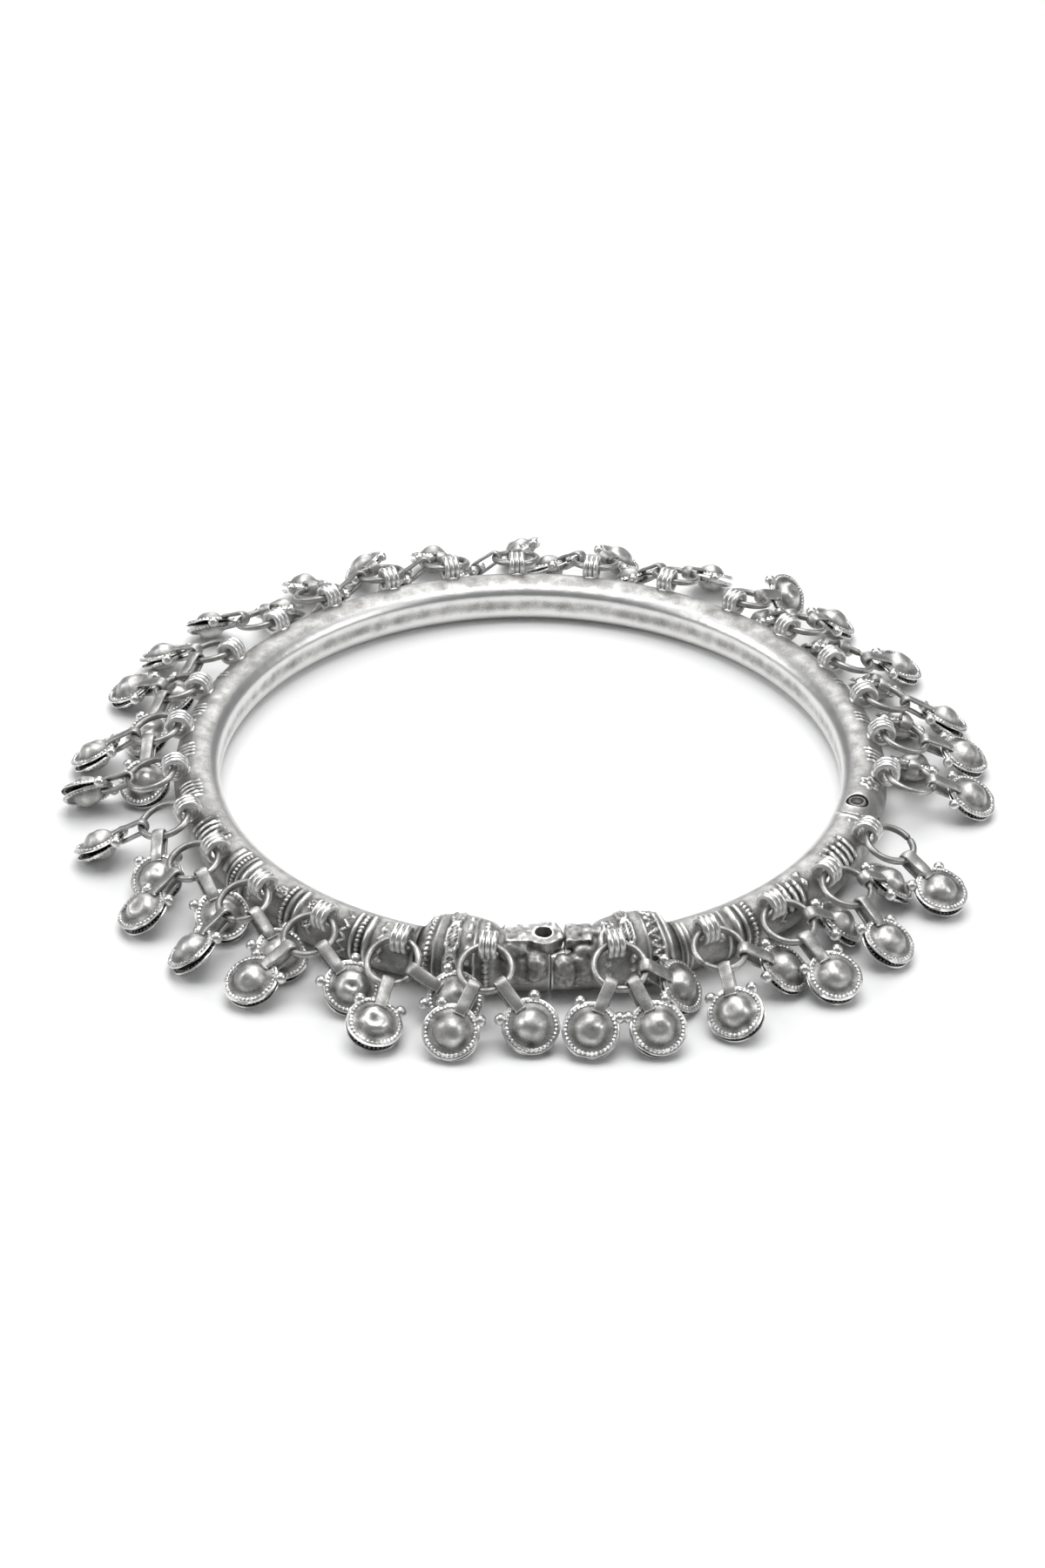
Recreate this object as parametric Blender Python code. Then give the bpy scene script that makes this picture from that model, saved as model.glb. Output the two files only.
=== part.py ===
"""Payal anklet: a rigid round hoop that opens on a hinge, hung all round with bells on jump rings.

Metres, +Z up. The origin is the centre of the hoop, on the surface that the anklet lies on.
"""
import math

import bmesh
import bpy
from mathutils import Matrix, Vector

MM = 0.001
GAP = 0.3 * MM

# Hoop: a round tube bent into a ring, worn flat on its ankle side
HOOP_RADIUS = 49.4 * MM
TUBE_RADIUS = 3.6 * MM
TUBE_SIDES = 12
TUBE_STEP_DEG = 12.0
ARC_STEPS = 8
HINGE_DEG = 343.5
CLASP_DEG = 273.1

# Collars: thick cast sleeves beside the clasp, each with a neck that runs on to the clasp
COLLAR_RADIUS = 5.0 * MM
COLLAR_END_RADIUS = 4.4 * MM
NECK_RADIUS = 3.9 * MM
MAIN_COLLAR_DEG = (253.6, 265.6)
GATE_COLLAR_DEG = (280.2, 292.4)
BAND_DEG = 0.45

# Raised bands round the tube, in pairs
BAND_RADIUS = 3.95 * MM
BAND_WIDE_DEG = 1.0
BANDS_DEG = (219.5, 231.5, 245.0, 303.5, 315.5)

# Clasp: a flat eye plate for a screw on the long part, reaching over a step on the gate
EYE_DEG = 272.35
EYE_RADIUS = 2.6 * MM
EYE_BORE = 1.2 * MM
EYE_HALF_WIDE = 1.9 * MM
EYE_THICK = 1.9 * MM
EYE_TOP = 9.0 * MM
EYE_LONG = 5.2 * MM
EYE_SIDES = 12
LUG_LONG = 3.6 * MM

# Rounded knobs on the outer side of the clasp, one on each part
KNOB_HALF = Vector((2.0, 1.6, 2.5)) * MM
KNOB_OUT = 3.1 * MM
KNOB_HEIGHT = 5.2 * MM
KNOB_DROP = 0.6 * MM

# Hinge: two ears on the long part, a tongue on the gate, and a rivet through all three
HINGE_OPENS_DEG = 40.0
KNUCKLE_LAP = 1.0 * MM
TONGUE_THICK = 2.4 * MM
TONGUE_RADIUS = 2.0 * MM
RIVET_RADIUS = 0.8 * MM
RIVET_HEAD_RADIUS = 1.35 * MM
RIVET_HEAD_HIGH = 0.6 * MM
RECESS_DEEP = 0.8 * MM
KNUCKLE_LONG = 5.4 * MM
POST_SIDES = 12

# Ear loops: wide straps bent round and soldered on the outer side of the tube
LOOP_HOLE = 1.3 * MM
LOOP_STRAP = 0.65 * MM
LOOP_WIDE = 2.5 * MM
LOOP_SINK = 0.45 * MM
LOOP_SIDES = 8

# Jump rings
RING_RADIUS = 3.5 * MM
RING_WIRE = 0.5 * MM
RING_SIDES = 10
WIRE_SIDES = 5
WELD = 0.01 * MM

# Bells: two domed caps on a strap that hooks on the jump ring, parted by an open slit
BELL_RADIUS = 3.9 * MM
DOME_RADIUS = 2.35 * MM
CROWN_RADIUS = 1.3 * MM
DOME_HIGH = 2.1 * MM
FOOT_HIGH = 0.5 * MM
SLIT_NEAR = 0.12 * MM
SLIT_SPREAD_DEG = 3.0
BELL_SIDES = 10
STRAP_LONG = 2.7 * MM
STRAP_LAP = 0.8 * MM
STRAP_HEAD = 0.65 * MM
STRAP_WIDE = 1.7 * MM
STRAP_THICK = 1.5 * MM
FLOOR_GAP = 0.05 * MM
DROOP_DEG = (-50, 88)
DROOP_STEPS = 14

# How a drop lies. lean is the slope of its jump ring, yaw and roll turn the ring in its ear loop.
# A bell is hooked at an angle round the ring from its far end, and twist turns it about its strap.
STYLES = {
    "left": {"lean": 15, "yaw": -2, "roll": 0,
             "bells": ({"hook": -14, "twist": -8}, {"hook": 76, "twist": 0})},
    "middle": {"lean": 16, "yaw": 0, "roll": 3,
               "bells": ({"hook": 0, "twist": 6}, {"hook": 78, "twist": 0})},
    "right": {"lean": 14, "yaw": 2, "roll": -2,
              "bells": ({"hook": 10, "twist": 14}, {"hook": 80, "twist": -6})},
    "turned": {"lean": 14, "yaw": 0, "roll": 0,
               "bells": ({"hook": -6, "twist": -30}, {"hook": 82, "twist": 10})},
    "wide": {"lean": 16, "yaw": 0, "roll": 0,
             "bells": ({"hook": -20, "twist": 0}, {"hook": 68, "twist": 0})},
    "fan": {"lean": 22, "yaw": 0, "roll": 0,
            "bells": ({"hook": -34, "twist": 0}, {"hook": 20, "twist": 4}, {"hook": 78, "twist": 0})},
    "pair": {"lean": 22, "yaw": 0, "roll": 0,
             "bells": ({"hook": -22, "twist": -6}, {"hook": 44, "twist": 4})},
    "spread": {"lean": 16, "yaw": 0, "roll": 0,
               "bells": ({"hook": 0, "twist": 25}, {"hook": 76, "twist": -15})},
    "close": {"lean": 16, "yaw": 0, "roll": 0,
              "bells": ({"hook": -14, "twist": 25}, {"hook": 62, "twist": 0})},
    "crossed": {"lean": 16, "yaw": 0, "roll": 0,
                "bells": ({"hook": 14, "twist": 25}, {"hook": -62, "twist": 0})},
    "steep": {"lean": 24, "yaw": 0, "roll": 0,
              "bells": ({"hook": 6, "twist": -20}, {"hook": 76, "twist": 15})},
    "one_left": {"lean": 16, "yaw": -3, "roll": 0,
                 "bells": ({"hook": -16, "twist": 10},)},
    "one_edge": {"lean": 16, "yaw": 0, "roll": 0,
                 "bells": ({"hook": -8, "twist": 50},)},
}

# The drops round the hoop: the place of each ear loop, how high it sits on the tube, and how it lies
DROPS = (
    {"at": 93.0, "rise": 58, "style": "turned"},
    {"at": 79.5, "rise": 58, "style": "close"},
    {"at": 65.5, "rise": 57, "style": "left"},
    {"at": 52.0, "rise": 55, "style": "one_edge"},
    {"at": 40.0, "rise": 53, "style": "right"},
    {"at": 27.5, "rise": 54, "style": "middle"},
    {"at": 15.5, "rise": 52, "style": "left"},
    {"at": 4.0, "rise": 52, "style": "middle"},
    {"at": 352.5, "rise": 50, "style": "right"},
    {"at": 335.5, "rise": 46, "style": "one_left"},
    {"at": 322.0, "rise": 50, "style": "left"},
    {"at": 309.5, "rise": 53, "style": "middle"},
    {"at": 297.5, "rise": 54, "style": "close"},
    {"at": 282.5, "rise": 50, "style": "fan"},
    {"at": 264.3, "rise": 52, "style": "pair"},
    {"at": 251.0, "rise": 54, "style": "steep"},
    {"at": 238.0, "rise": 52, "style": "wide"},
    {"at": 225.5, "rise": 52, "style": "spread"},
    {"at": 213.0, "rise": 50, "style": "right"},
    {"at": 201.5, "rise": 50, "style": "close"},
    {"at": 189.0, "rise": 50, "style": "one_edge"},
    {"at": 176.5, "rise": 50, "style": "right"},
    {"at": 164.5, "rise": 50, "style": "left"},
    {"at": 152.5, "rise": 50, "style": "middle"},
    {"at": 140.5, "rise": 52, "style": "crossed"},
    {"at": 128.5, "rise": 55, "style": "one_left"},
    {"at": 116.5, "rise": 57, "style": "turned"},
    {"at": 105.0, "rise": 58, "style": "middle"},
)
GATE_DROPS = (10, 11, 12, 13, 14)


def start_clean():
    """Take away what the scene holds."""
    for item in list(bpy.data.objects):
        bpy.data.objects.remove(item, do_unlink=True)


def metal(name, colour, roughness):
    """One of the metal finishes."""
    material = bpy.data.materials.new(name)
    material.use_nodes = True
    shader = material.node_tree.nodes["Principled BSDF"]
    shader.inputs["Base Color"].default_value = (*colour, 1.0)
    shader.inputs["Metallic"].default_value = 1.0
    shader.inputs["Roughness"].default_value = roughness
    material.diffuse_color = (*colour, 1.0)
    return material


def add_object(name, mesh):
    """An object in the anklet's collection."""
    item = bpy.data.objects.new(name, mesh)
    bpy.data.collections["payal_anklet"].objects.link(item)
    return item


def from_bmesh(name, work, matrix=None):
    """Turn a bmesh into an object, placed by a matrix."""
    if matrix is not None:
        bmesh.ops.transform(work, matrix=matrix, verts=work.verts)
    bmesh.ops.recalc_face_normals(work, faces=work.faces)
    mesh = bpy.data.meshes.new(name)
    work.to_mesh(mesh)
    work.free()
    return add_object(name, mesh)


def combine(base, others, operation):
    """Join other solids to the base, or cut them from it, and take them away."""
    for other in others:
        modifier = base.modifiers.new(other.name, "BOOLEAN")
        modifier.operation = operation
        modifier.solver = "EXACT"
        modifier.object = other
    evaluated = base.evaluated_get(bpy.context.evaluated_depsgraph_get())
    mesh = bpy.data.meshes.new_from_object(evaluated)
    base.modifiers.clear()
    base.data = mesh
    for other in others:
        bpy.data.objects.remove(other, do_unlink=True)
    return base


def place_on_hoop(azimuth_deg, out=0.0, height=0.0):
    """Matrix at a point of the hoop: X points outward, Y along the hoop and Z up."""
    turn = Matrix.Rotation(math.radians(azimuth_deg), 4, "Z")
    return turn @ Matrix.Translation((HOOP_RADIUS + out, 0.0, height))


def cylinder(name, radius, low, high, matrix, sides=POST_SIDES):
    """An upright cylinder between two heights."""
    work = bmesh.new()
    lift = Matrix.Translation((0.0, 0.0, (low + high) / 2))
    bmesh.ops.create_cone(work, cap_ends=True, segments=sides, radius1=radius, radius2=radius,
                          depth=high - low, matrix=lift)
    return from_bmesh(name, work, matrix)


def box(name, low, high, matrix):
    """A box between two corners."""
    work = bmesh.new()
    bmesh.ops.create_cube(work, size=1.0)
    size = Vector(high) - Vector(low)
    middle = (Vector(high) + Vector(low)) / 2
    shape = Matrix.Translation(middle) @ Matrix.Diagonal((*size, 1.0))
    bmesh.ops.transform(work, matrix=shape, verts=work.verts)
    return from_bmesh(name, work, matrix)


def tongue_outline(radius, half_wide, long):
    """A flat outline with a round end at its origin, and a straight stretch running back along -Y."""
    start = -math.acos(min(1.0, half_wide / radius))
    span = math.pi - 2 * start
    turns = [start + span * number / ARC_STEPS for number in range(ARC_STEPS + 1)]
    arc = [(radius * math.cos(turn), radius * math.sin(turn)) for turn in turns]
    if half_wide > radius:
        arc = [(half_wide, 0.0)] + arc + [(-half_wide, 0.0)]
    return arc + [(-half_wide, -long), (half_wide, -long)]


def prism(name, outline, low, high, matrix):
    """An upright prism on a flat outline."""
    work = bmesh.new()
    face = work.faces.new([work.verts.new((*point, low)) for point in outline])
    walls = bmesh.ops.extrude_face_region(work, geom=[face])
    moved = [part for part in walls["geom"] if isinstance(part, bmesh.types.BMVert)]
    bmesh.ops.translate(work, verts=moved, vec=(0.0, 0.0, high - low))
    return from_bmesh(name, work, matrix)


def tube_section(azimuth_deg, radius):
    """Corners of the tube's section: round, flat on the ankle side, resting on the floor if thick."""
    height = max(radius, TUBE_RADIUS)
    corners = []
    for number in range(TUBE_SIDES):
        angle = math.tau * number / TUBE_SIDES
        if number == TUBE_SIDES // 2:
            continue
        place = place_on_hoop(azimuth_deg, radius * math.cos(angle), height + radius * math.sin(angle))
        corners.append(place.to_translation())
    return corners


def loft(name, sections):
    """A closed solid through sections with equal numbers of corners."""
    work = bmesh.new()
    rings = [[work.verts.new(corner) for corner in section] for section in sections]
    for ring, following in zip(rings, rings[1:]):
        for number, corner in enumerate(ring):
            beside = (number + 1) % len(ring)
            work.faces.new((corner, ring[beside], following[beside], following[number]))
    work.faces.new(rings[0])
    work.faces.new(list(reversed(rings[-1])))
    return from_bmesh(name, work)


def arm_stations(start_deg, stop_deg, collar_deg, neck_end):
    """Places and radii along one arm of the hoop, with its bands, its collar and its neck."""
    first, last = collar_deg
    marks = [
        (first - BAND_DEG, TUBE_RADIUS),
        (first, COLLAR_END_RADIUS),
        ((first + last) / 2, COLLAR_RADIUS),
        (last, COLLAR_END_RADIUS),
        (last + BAND_DEG, NECK_RADIUS),
    ]
    if neck_end == "start":
        marks[0] = (first - BAND_DEG, NECK_RADIUS)
        marks[-1] = (last + BAND_DEG, TUBE_RADIUS)
        marks.append((start_deg, NECK_RADIUS))
        marks.append((stop_deg, TUBE_RADIUS))
    else:
        marks.append((start_deg, TUBE_RADIUS))
        marks.append((stop_deg, NECK_RADIUS))
    for middle in BANDS_DEG:
        lies_on_arm = start_deg < middle < stop_deg
        if lies_on_arm:
            for side, radius in ((-1, TUBE_RADIUS), (0, BAND_RADIUS), (1, TUBE_RADIUS)):
                marks.append((middle + side * BAND_WIDE_DEG, radius))
    marks.sort()
    stations = [marks[0]]
    for mark in marks[1:]:
        before = stations[-1]
        steps = max(1, round((mark[0] - before[0]) / TUBE_STEP_DEG))
        for step in range(1, steps + 1):
            share = step / steps
            azimuth_deg = before[0] + share * (mark[0] - before[0])
            radius = before[1] + share * (mark[1] - before[1])
            stations.append((azimuth_deg, radius))
    return stations


def make_arm(name, start_deg, stop_deg, collar_deg, neck_end):
    """One arm of the hoop, without its fittings."""
    stations = arm_stations(start_deg, stop_deg, collar_deg, neck_end)
    return loft(name, [tube_section(*station) for station in stations])


def loop_place(drop):
    """Matrix at the centre of a drop's ear loop, level with the floor."""
    rise = math.radians(drop["rise"])
    base = TUBE_RADIUS
    for first, last in (MAIN_COLLAR_DEG, GATE_COLLAR_DEG):
        if first <= drop["at"] <= last:
            from_middle = abs(2 * drop["at"] - first - last) / (last - first)
            base = COLLAR_RADIUS + from_middle * (COLLAR_END_RADIUS - COLLAR_RADIUS)
    reach = base + LOOP_HOLE + LOOP_STRAP - LOOP_SINK
    return place_on_hoop(drop["at"], reach * math.cos(rise), base + reach * math.sin(rise))


def make_ear_loop(drop):
    """A strap bent into a short tube, its hole lying along the hoop."""
    work = bmesh.new()
    along = Matrix.Rotation(math.radians(90.0), 4, "X")
    for radius in (LOOP_HOLE + LOOP_STRAP, LOOP_HOLE):
        bmesh.ops.create_circle(work, segments=LOOP_SIDES, radius=radius, matrix=along)
    bmesh.ops.bridge_loops(work, edges=work.edges)
    walls = bmesh.ops.extrude_face_region(work, geom=work.faces[:] + work.edges[:] + work.verts[:])
    moved = [part for part in walls["geom"] if isinstance(part, bmesh.types.BMVert)]
    bmesh.ops.translate(work, verts=moved, vec=(0.0, LOOP_WIDE, 0.0))
    bmesh.ops.translate(work, verts=work.verts, vec=(0.0, -LOOP_WIDE / 2, 0.0))
    return from_bmesh("ear_loop", work, loop_place(drop))


def ring_matrix(drop):
    """Matrix at a jump ring's centre: X points to its far end, Z stands on its plane."""
    style = STYLES[drop["style"]]
    sagitta = RING_RADIUS - math.sqrt(RING_RADIUS ** 2 - (LOOP_WIDE / 2) ** 2)
    hole = LOOP_HOLE * math.cos(math.pi / LOOP_SIDES)
    seat = hole - GAP - RING_WIRE - sagitta
    yaw = Matrix.Rotation(math.radians(style["yaw"]), 4, "Z")
    lean = Matrix.Rotation(math.radians(style["lean"]), 4, "Y")
    roll = Matrix.Rotation(math.radians(style["roll"]), 4, "X")
    return loop_place(drop) @ yaw @ lean @ roll @ Matrix.Translation((RING_RADIUS + seat, 0.0, 0.0))


def make_ring(drop, name):
    """A jump ring."""
    work = bmesh.new()
    start = Matrix.Translation((RING_RADIUS, 0.0, 0.0)) @ Matrix.Rotation(math.radians(90.0), 4, "X")
    bmesh.ops.create_circle(work, segments=WIRE_SIDES, radius=RING_WIRE, matrix=start)
    bmesh.ops.spin(work, geom=work.edges[:] + work.verts[:], angle=math.tau, steps=RING_SIDES,
                   cent=(0, 0, 0), axis=(0, 0, 1), use_merge=True)
    bmesh.ops.remove_doubles(work, verts=work.verts, dist=WELD)
    half_step = Matrix.Rotation(math.pi / RING_SIDES, 4, "Z")
    return from_bmesh(name, work, ring_matrix(drop) @ half_step)


def make_cap(side):
    """One domed half of a bell, tipped open about the edge beside the strap."""
    work = bmesh.new()
    profile = [(CROWN_RADIUS, DOME_HIGH), (DOME_RADIUS, FOOT_HIGH), (BELL_RADIUS, 0.0)]
    corners = [work.verts.new((radius, 0.0, height)) for radius, height in profile]
    for corner, following in zip(corners, corners[1:]):
        work.edges.new((corner, following))
    bmesh.ops.spin(work, geom=work.verts[:] + work.edges[:], angle=math.tau, steps=BELL_SIDES,
                   cent=(0, 0, 0), axis=(0, 0, 1), use_merge=True)
    bmesh.ops.remove_doubles(work, verts=work.verts, dist=WELD)
    bmesh.ops.holes_fill(work, edges=work.edges[:])
    tip = Matrix.Rotation(-math.radians(SLIT_SPREAD_DEG), 4, "Y")
    edge = Matrix.Translation((BELL_RADIUS, 0.0, SLIT_NEAR))
    back = Matrix.Translation((STRAP_LONG, 0.0, 0.0))
    flip = Matrix.Rotation(0.0 if side > 0 else math.pi, 4, "X")
    return from_bmesh("cap", work, flip @ back @ tip @ edge)


def make_strap():
    """The strap that hooks over the jump ring and holds the two caps."""
    work = bmesh.new()
    ends = ((-STRAP_HEAD, STRAP_THICK / 2), (STRAP_LONG + STRAP_LAP, STRAP_THICK / 2 - GAP / 2))
    bmesh.ops.create_cube(work, size=1.0)
    for corner in work.verts:
        along, half = ends[corner.co.x > 0.0]
        corner.co = (along, math.copysign(STRAP_WIDE / 2, corner.co.y), math.copysign(half, corner.co.z))
    return from_bmesh("strap", work)


def make_bell():
    """A bell with its strap: X runs from the hook to the bell, Y along the ring's wire."""
    return combine(make_cap(1), [make_cap(-1), make_strap()], "UNION")


def bell_matrix(drop, bell, droop):
    """Matrix at a bell's hook, drooping from the plane of its jump ring by an angle."""
    around = Matrix.Rotation(math.radians(bell["hook"]), 4, "Z")
    out = Matrix.Translation((RING_RADIUS, 0.0, 0.0))
    down = Matrix.Rotation(droop, 4, "Y")
    twist = Matrix.Rotation(math.radians(bell["twist"]), 4, "X")
    return ring_matrix(drop) @ around @ out @ down @ twist


def lowest(mesh, matrix):
    """Height of the lowest corner of a placed mesh."""
    return min((matrix @ corner.co).z for corner in mesh.vertices)


def settle(drop, bell, mesh):
    """Matrix of a bell that droops until it rests on the floor."""
    up, down = (math.radians(limit) for limit in DROOP_DEG)
    for _ in range(DROOP_STEPS):
        middle = (up + down) / 2
        if lowest(mesh, bell_matrix(drop, bell, middle)) > FLOOR_GAP:
            up = middle
        else:
            down = middle
    return bell_matrix(drop, bell, up)


def make_drop(number, drop, pattern):
    """A jump ring with its bells, soldered shut into one piece."""
    ring = make_ring(drop, f"drop_{number:02d}")
    bells = []
    for bell in STYLES[drop["style"]]["bells"]:
        copy = add_object("bell", pattern.data.copy())
        copy.data.transform(settle(drop, bell, pattern.data))
        bells.append(copy)
    return combine(ring, bells, "UNION")


def hinge_post(name, radius, low, high):
    """An upright cylinder on the hinge's axis."""
    return cylinder(name, radius, low, high, place_on_hoop(HINGE_DEG))


def add_ears(arm):
    """Round the end of the long arm about the hinge axis and slot it for the tongue."""
    ends_deg = (HINGE_DEG - along_deg(KNUCKLE_LONG), HINGE_DEG + 2 * along_deg(KNUCKLE_LAP))
    stretch = loft("knuckle", [tube_section(end_deg, TUBE_RADIUS) for end_deg in ends_deg])
    knuckle = combine(stretch, [hinge_post("round", TUBE_RADIUS, -GAP, 3 * TUBE_RADIUS)], "INTERSECT")
    combine(arm, [knuckle], "UNION")
    low = TUBE_RADIUS - TONGUE_THICK / 2 - GAP
    high = TUBE_RADIUS + TONGUE_THICK / 2 + GAP
    swept = TONGUE_RADIUS / math.cos(math.radians(HINGE_OPENS_DEG)) + GAP
    outline = tongue_outline(swept, 2 * TUBE_RADIUS, 2 * TUBE_RADIUS)
    slot = prism("slot", outline, low, high, place_on_hoop(HINGE_DEG))
    top = 2 * TUBE_RADIUS
    recess = hinge_post("recess", RIVET_HEAD_RADIUS + GAP, top - RECESS_DEEP, top + TUBE_RADIUS)
    bore = hinge_post("bore", RIVET_RADIUS + GAP, -TUBE_RADIUS, top + TUBE_RADIUS)
    return combine(arm, [slot, recess, bore], "DIFFERENCE")


def add_tongue(arm):
    """Hollow the end of the gate round the ears and give it a tongue."""
    combine(arm, [hinge_post("ears", TUBE_RADIUS + GAP, -GAP, 3 * TUBE_RADIUS)], "DIFFERENCE")
    low = TUBE_RADIUS - TONGUE_THICK / 2
    high = TUBE_RADIUS + TONGUE_THICK / 2
    outline = tongue_outline(TONGUE_RADIUS, TONGUE_RADIUS, 2 * TUBE_RADIUS)
    combine(arm, [prism("tongue", outline, low, high, place_on_hoop(HINGE_DEG))], "UNION")
    return combine(arm, [hinge_post("bore", RIVET_RADIUS + GAP, 0.0, 2 * TUBE_RADIUS)], "DIFFERENCE")


def make_rivet():
    """The rivet, its head in the recess of the upper ear."""
    top = 2 * TUBE_RADIUS - RECESS_DEEP + GAP
    shank = hinge_post("hinge_rivet", RIVET_RADIUS, GAP, top + RIVET_HEAD_HIGH / 2)
    work = bmesh.new()
    bmesh.ops.create_cone(work, cap_ends=True, segments=POST_SIDES, radius1=RIVET_HEAD_RADIUS,
                          radius2=RIVET_HEAD_RADIUS / 2, depth=RIVET_HEAD_HIGH)
    head = from_bmesh("head", work, place_on_hoop(HINGE_DEG, 0.0, top + RIVET_HEAD_HIGH / 2))
    return combine(shank, [head], "UNION")


def make_knob(azimuth_deg, height):
    """A rounded lump on the outer side of the clasp."""
    work = bmesh.new()
    bmesh.ops.create_icosphere(work, subdivisions=1, radius=1.0)
    shape = Matrix.Diagonal((*KNOB_HALF, 1.0))
    return from_bmesh("knob", work, place_on_hoop(azimuth_deg, KNOB_OUT, height) @ shape)


def along_deg(length):
    """Angle round the hoop that a length takes up."""
    return math.degrees(length / HOOP_RADIUS)


def add_eye(arm):
    """The eye plate on the long arm's neck, bored for the screw."""
    low = EYE_TOP - EYE_THICK
    place = place_on_hoop(EYE_DEG)
    plate = prism("plate", tongue_outline(EYE_RADIUS, EYE_HALF_WIDE, EYE_LONG), low, EYE_TOP, place)
    knob = make_knob(CLASP_DEG - along_deg(KNOB_HALF.y), KNOB_HEIGHT + KNOB_DROP)
    combine(arm, [plate, knob], "UNION")
    return combine(arm, [cylinder("bore", EYE_BORE, -EYE_TOP, 2 * EYE_TOP, place, EYE_SIDES)], "DIFFERENCE")


def add_lug(arm, gate_start_deg):
    """The step under the eye plate, the flat lug behind it and the knob of the gate."""
    place = place_on_hoop(EYE_DEG)
    face = EYE_RADIUS + GAP
    step_top = EYE_TOP - EYE_THICK - GAP
    reach = 2 * COLLAR_RADIUS
    low = (-EYE_HALF_WIDE, face, TUBE_RADIUS)
    lug = box("lug", low, (EYE_HALF_WIDE, face + LUG_LONG, EYE_TOP), place)
    knob = make_knob(gate_start_deg + along_deg(KNOB_HALF.y), KNOB_HEIGHT - KNOB_DROP)
    combine(arm, [lug, knob], "UNION")
    step = box("step", (-reach, -reach, step_top), (reach, face, reach * 2), place)
    return combine(arm, [step], "DIFFERENCE")


def make_hoop():
    """The long part of the hoop, from the hinge round the back to the clasp."""
    start_deg = HINGE_DEG - 360.0 + along_deg(KNUCKLE_LAP)
    arm = make_arm("hoop", start_deg, CLASP_DEG, MAIN_COLLAR_DEG, "stop")
    numbered = enumerate(DROPS, 1)
    loops = [make_ear_loop(drop) for number, drop in numbered if number not in GATE_DROPS]
    combine(arm, loops, "UNION")
    add_ears(arm)
    return add_eye(arm)


def make_gate():
    """The short part of the hoop, which swings on the hinge."""
    start_deg = CLASP_DEG + along_deg(GAP)
    arm = make_arm("gate", start_deg, HINGE_DEG, GATE_COLLAR_DEG, "start")
    loops = [make_ear_loop(DROPS[number - 1]) for number in GATE_DROPS]
    combine(arm, loops, "UNION")
    add_tongue(arm)
    return add_lug(arm, start_deg)


def set_origin(item, point):
    """Move an object's origin without moving its shape."""
    item.data.transform(Matrix.Translation(-Vector(point)))
    item.location = point


def build_anklet():
    """Model every piece of the anklet."""
    start_clean()
    collection = bpy.data.collections.new("payal_anklet")
    bpy.context.scene.collection.children.link(collection)
    silver = metal("worn_silver", (0.62, 0.61, 0.59), 0.32)
    bright = metal("rubbed_silver", (0.78, 0.78, 0.77), 0.22)
    dull = metal("dark_silver", (0.5, 0.49, 0.47), 0.4)

    hoop = make_hoop()
    gate = make_gate()
    rivet = make_rivet()
    hinge_point = place_on_hoop(HINGE_DEG) @ Vector((0.0, 0.0, 0.0))
    set_origin(gate, hinge_point)
    for item, material in ((hoop, silver), (gate, silver), (rivet, bright)):
        item.data.materials.clear()
        item.data.materials.append(material)

    pattern = make_bell()
    for number, drop in enumerate(DROPS, 1):
        item = make_drop(number, drop, pattern)
        item.data.materials.clear()
        item.data.materials.append(dull)
    bpy.data.objects.remove(pattern, do_unlink=True)

    for item in collection.objects:
        item.data.shade_smooth()
        item.data.set_sharp_from_angle(angle=math.radians(35.0))


build_anklet()
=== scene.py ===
import math
import random

import bmesh
import bpy
import numpy as np
from mathutils import Matrix, Vector, noise


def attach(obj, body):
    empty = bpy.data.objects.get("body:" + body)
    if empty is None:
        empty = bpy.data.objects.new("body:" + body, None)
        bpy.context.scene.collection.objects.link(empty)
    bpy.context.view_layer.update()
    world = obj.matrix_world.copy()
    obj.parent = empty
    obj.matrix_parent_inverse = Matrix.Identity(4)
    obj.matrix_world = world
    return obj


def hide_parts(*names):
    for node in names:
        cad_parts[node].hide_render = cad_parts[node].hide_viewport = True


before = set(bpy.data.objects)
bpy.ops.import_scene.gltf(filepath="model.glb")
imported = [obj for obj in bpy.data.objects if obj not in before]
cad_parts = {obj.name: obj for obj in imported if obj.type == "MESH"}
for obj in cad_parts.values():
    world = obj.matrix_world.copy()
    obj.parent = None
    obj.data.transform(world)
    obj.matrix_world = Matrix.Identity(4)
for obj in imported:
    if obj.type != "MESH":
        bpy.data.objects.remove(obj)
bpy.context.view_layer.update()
mm = 0.001
print("frame loaded with", len(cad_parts), "pieces")


# camera

photoCamera = {
    "target": (0.0, 0.0, 3.6 * mm),  # middle of the hoop
    "distance": 450 * mm,
    "elevation": 33.5,
    "roll": 0.8,
    "lens": 69.2,
    "shift": (-0.0053, -0.0135),
}


def addCamera():
    bpy.ops.object.camera_add()
    camera = bpy.context.object
    rise = math.radians(photoCamera["elevation"])
    back = Vector((0, -math.cos(rise), math.sin(rise)))
    right = Matrix.Rotation(math.radians(photoCamera["roll"]), 3, back) @ Vector((1, 0, 0))
    up = back.cross(right)
    place = Vector(photoCamera["target"]) + back * photoCamera["distance"]
    turn = Matrix((right, up, back)).transposed().to_4x4()
    camera.matrix_world = Matrix.Translation(place) @ turn
    camera.data.lens = photoCamera["lens"]
    camera.data.shift_x, camera.data.shift_y = photoCamera["shift"]
    camera.data.clip_start = 10 * mm
    bpy.context.scene.camera = camera


addCamera()
print("camera set")


# small helpers

def clearSelection():
    if bpy.context.object and bpy.context.object.mode != "OBJECT":
        bpy.ops.object.mode_set(mode="OBJECT")
    bpy.ops.object.select_all(action="DESELECT")


def pick(piece):
    clearSelection()
    piece.select_set(True)
    bpy.context.view_layer.objects.active = piece


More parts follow.
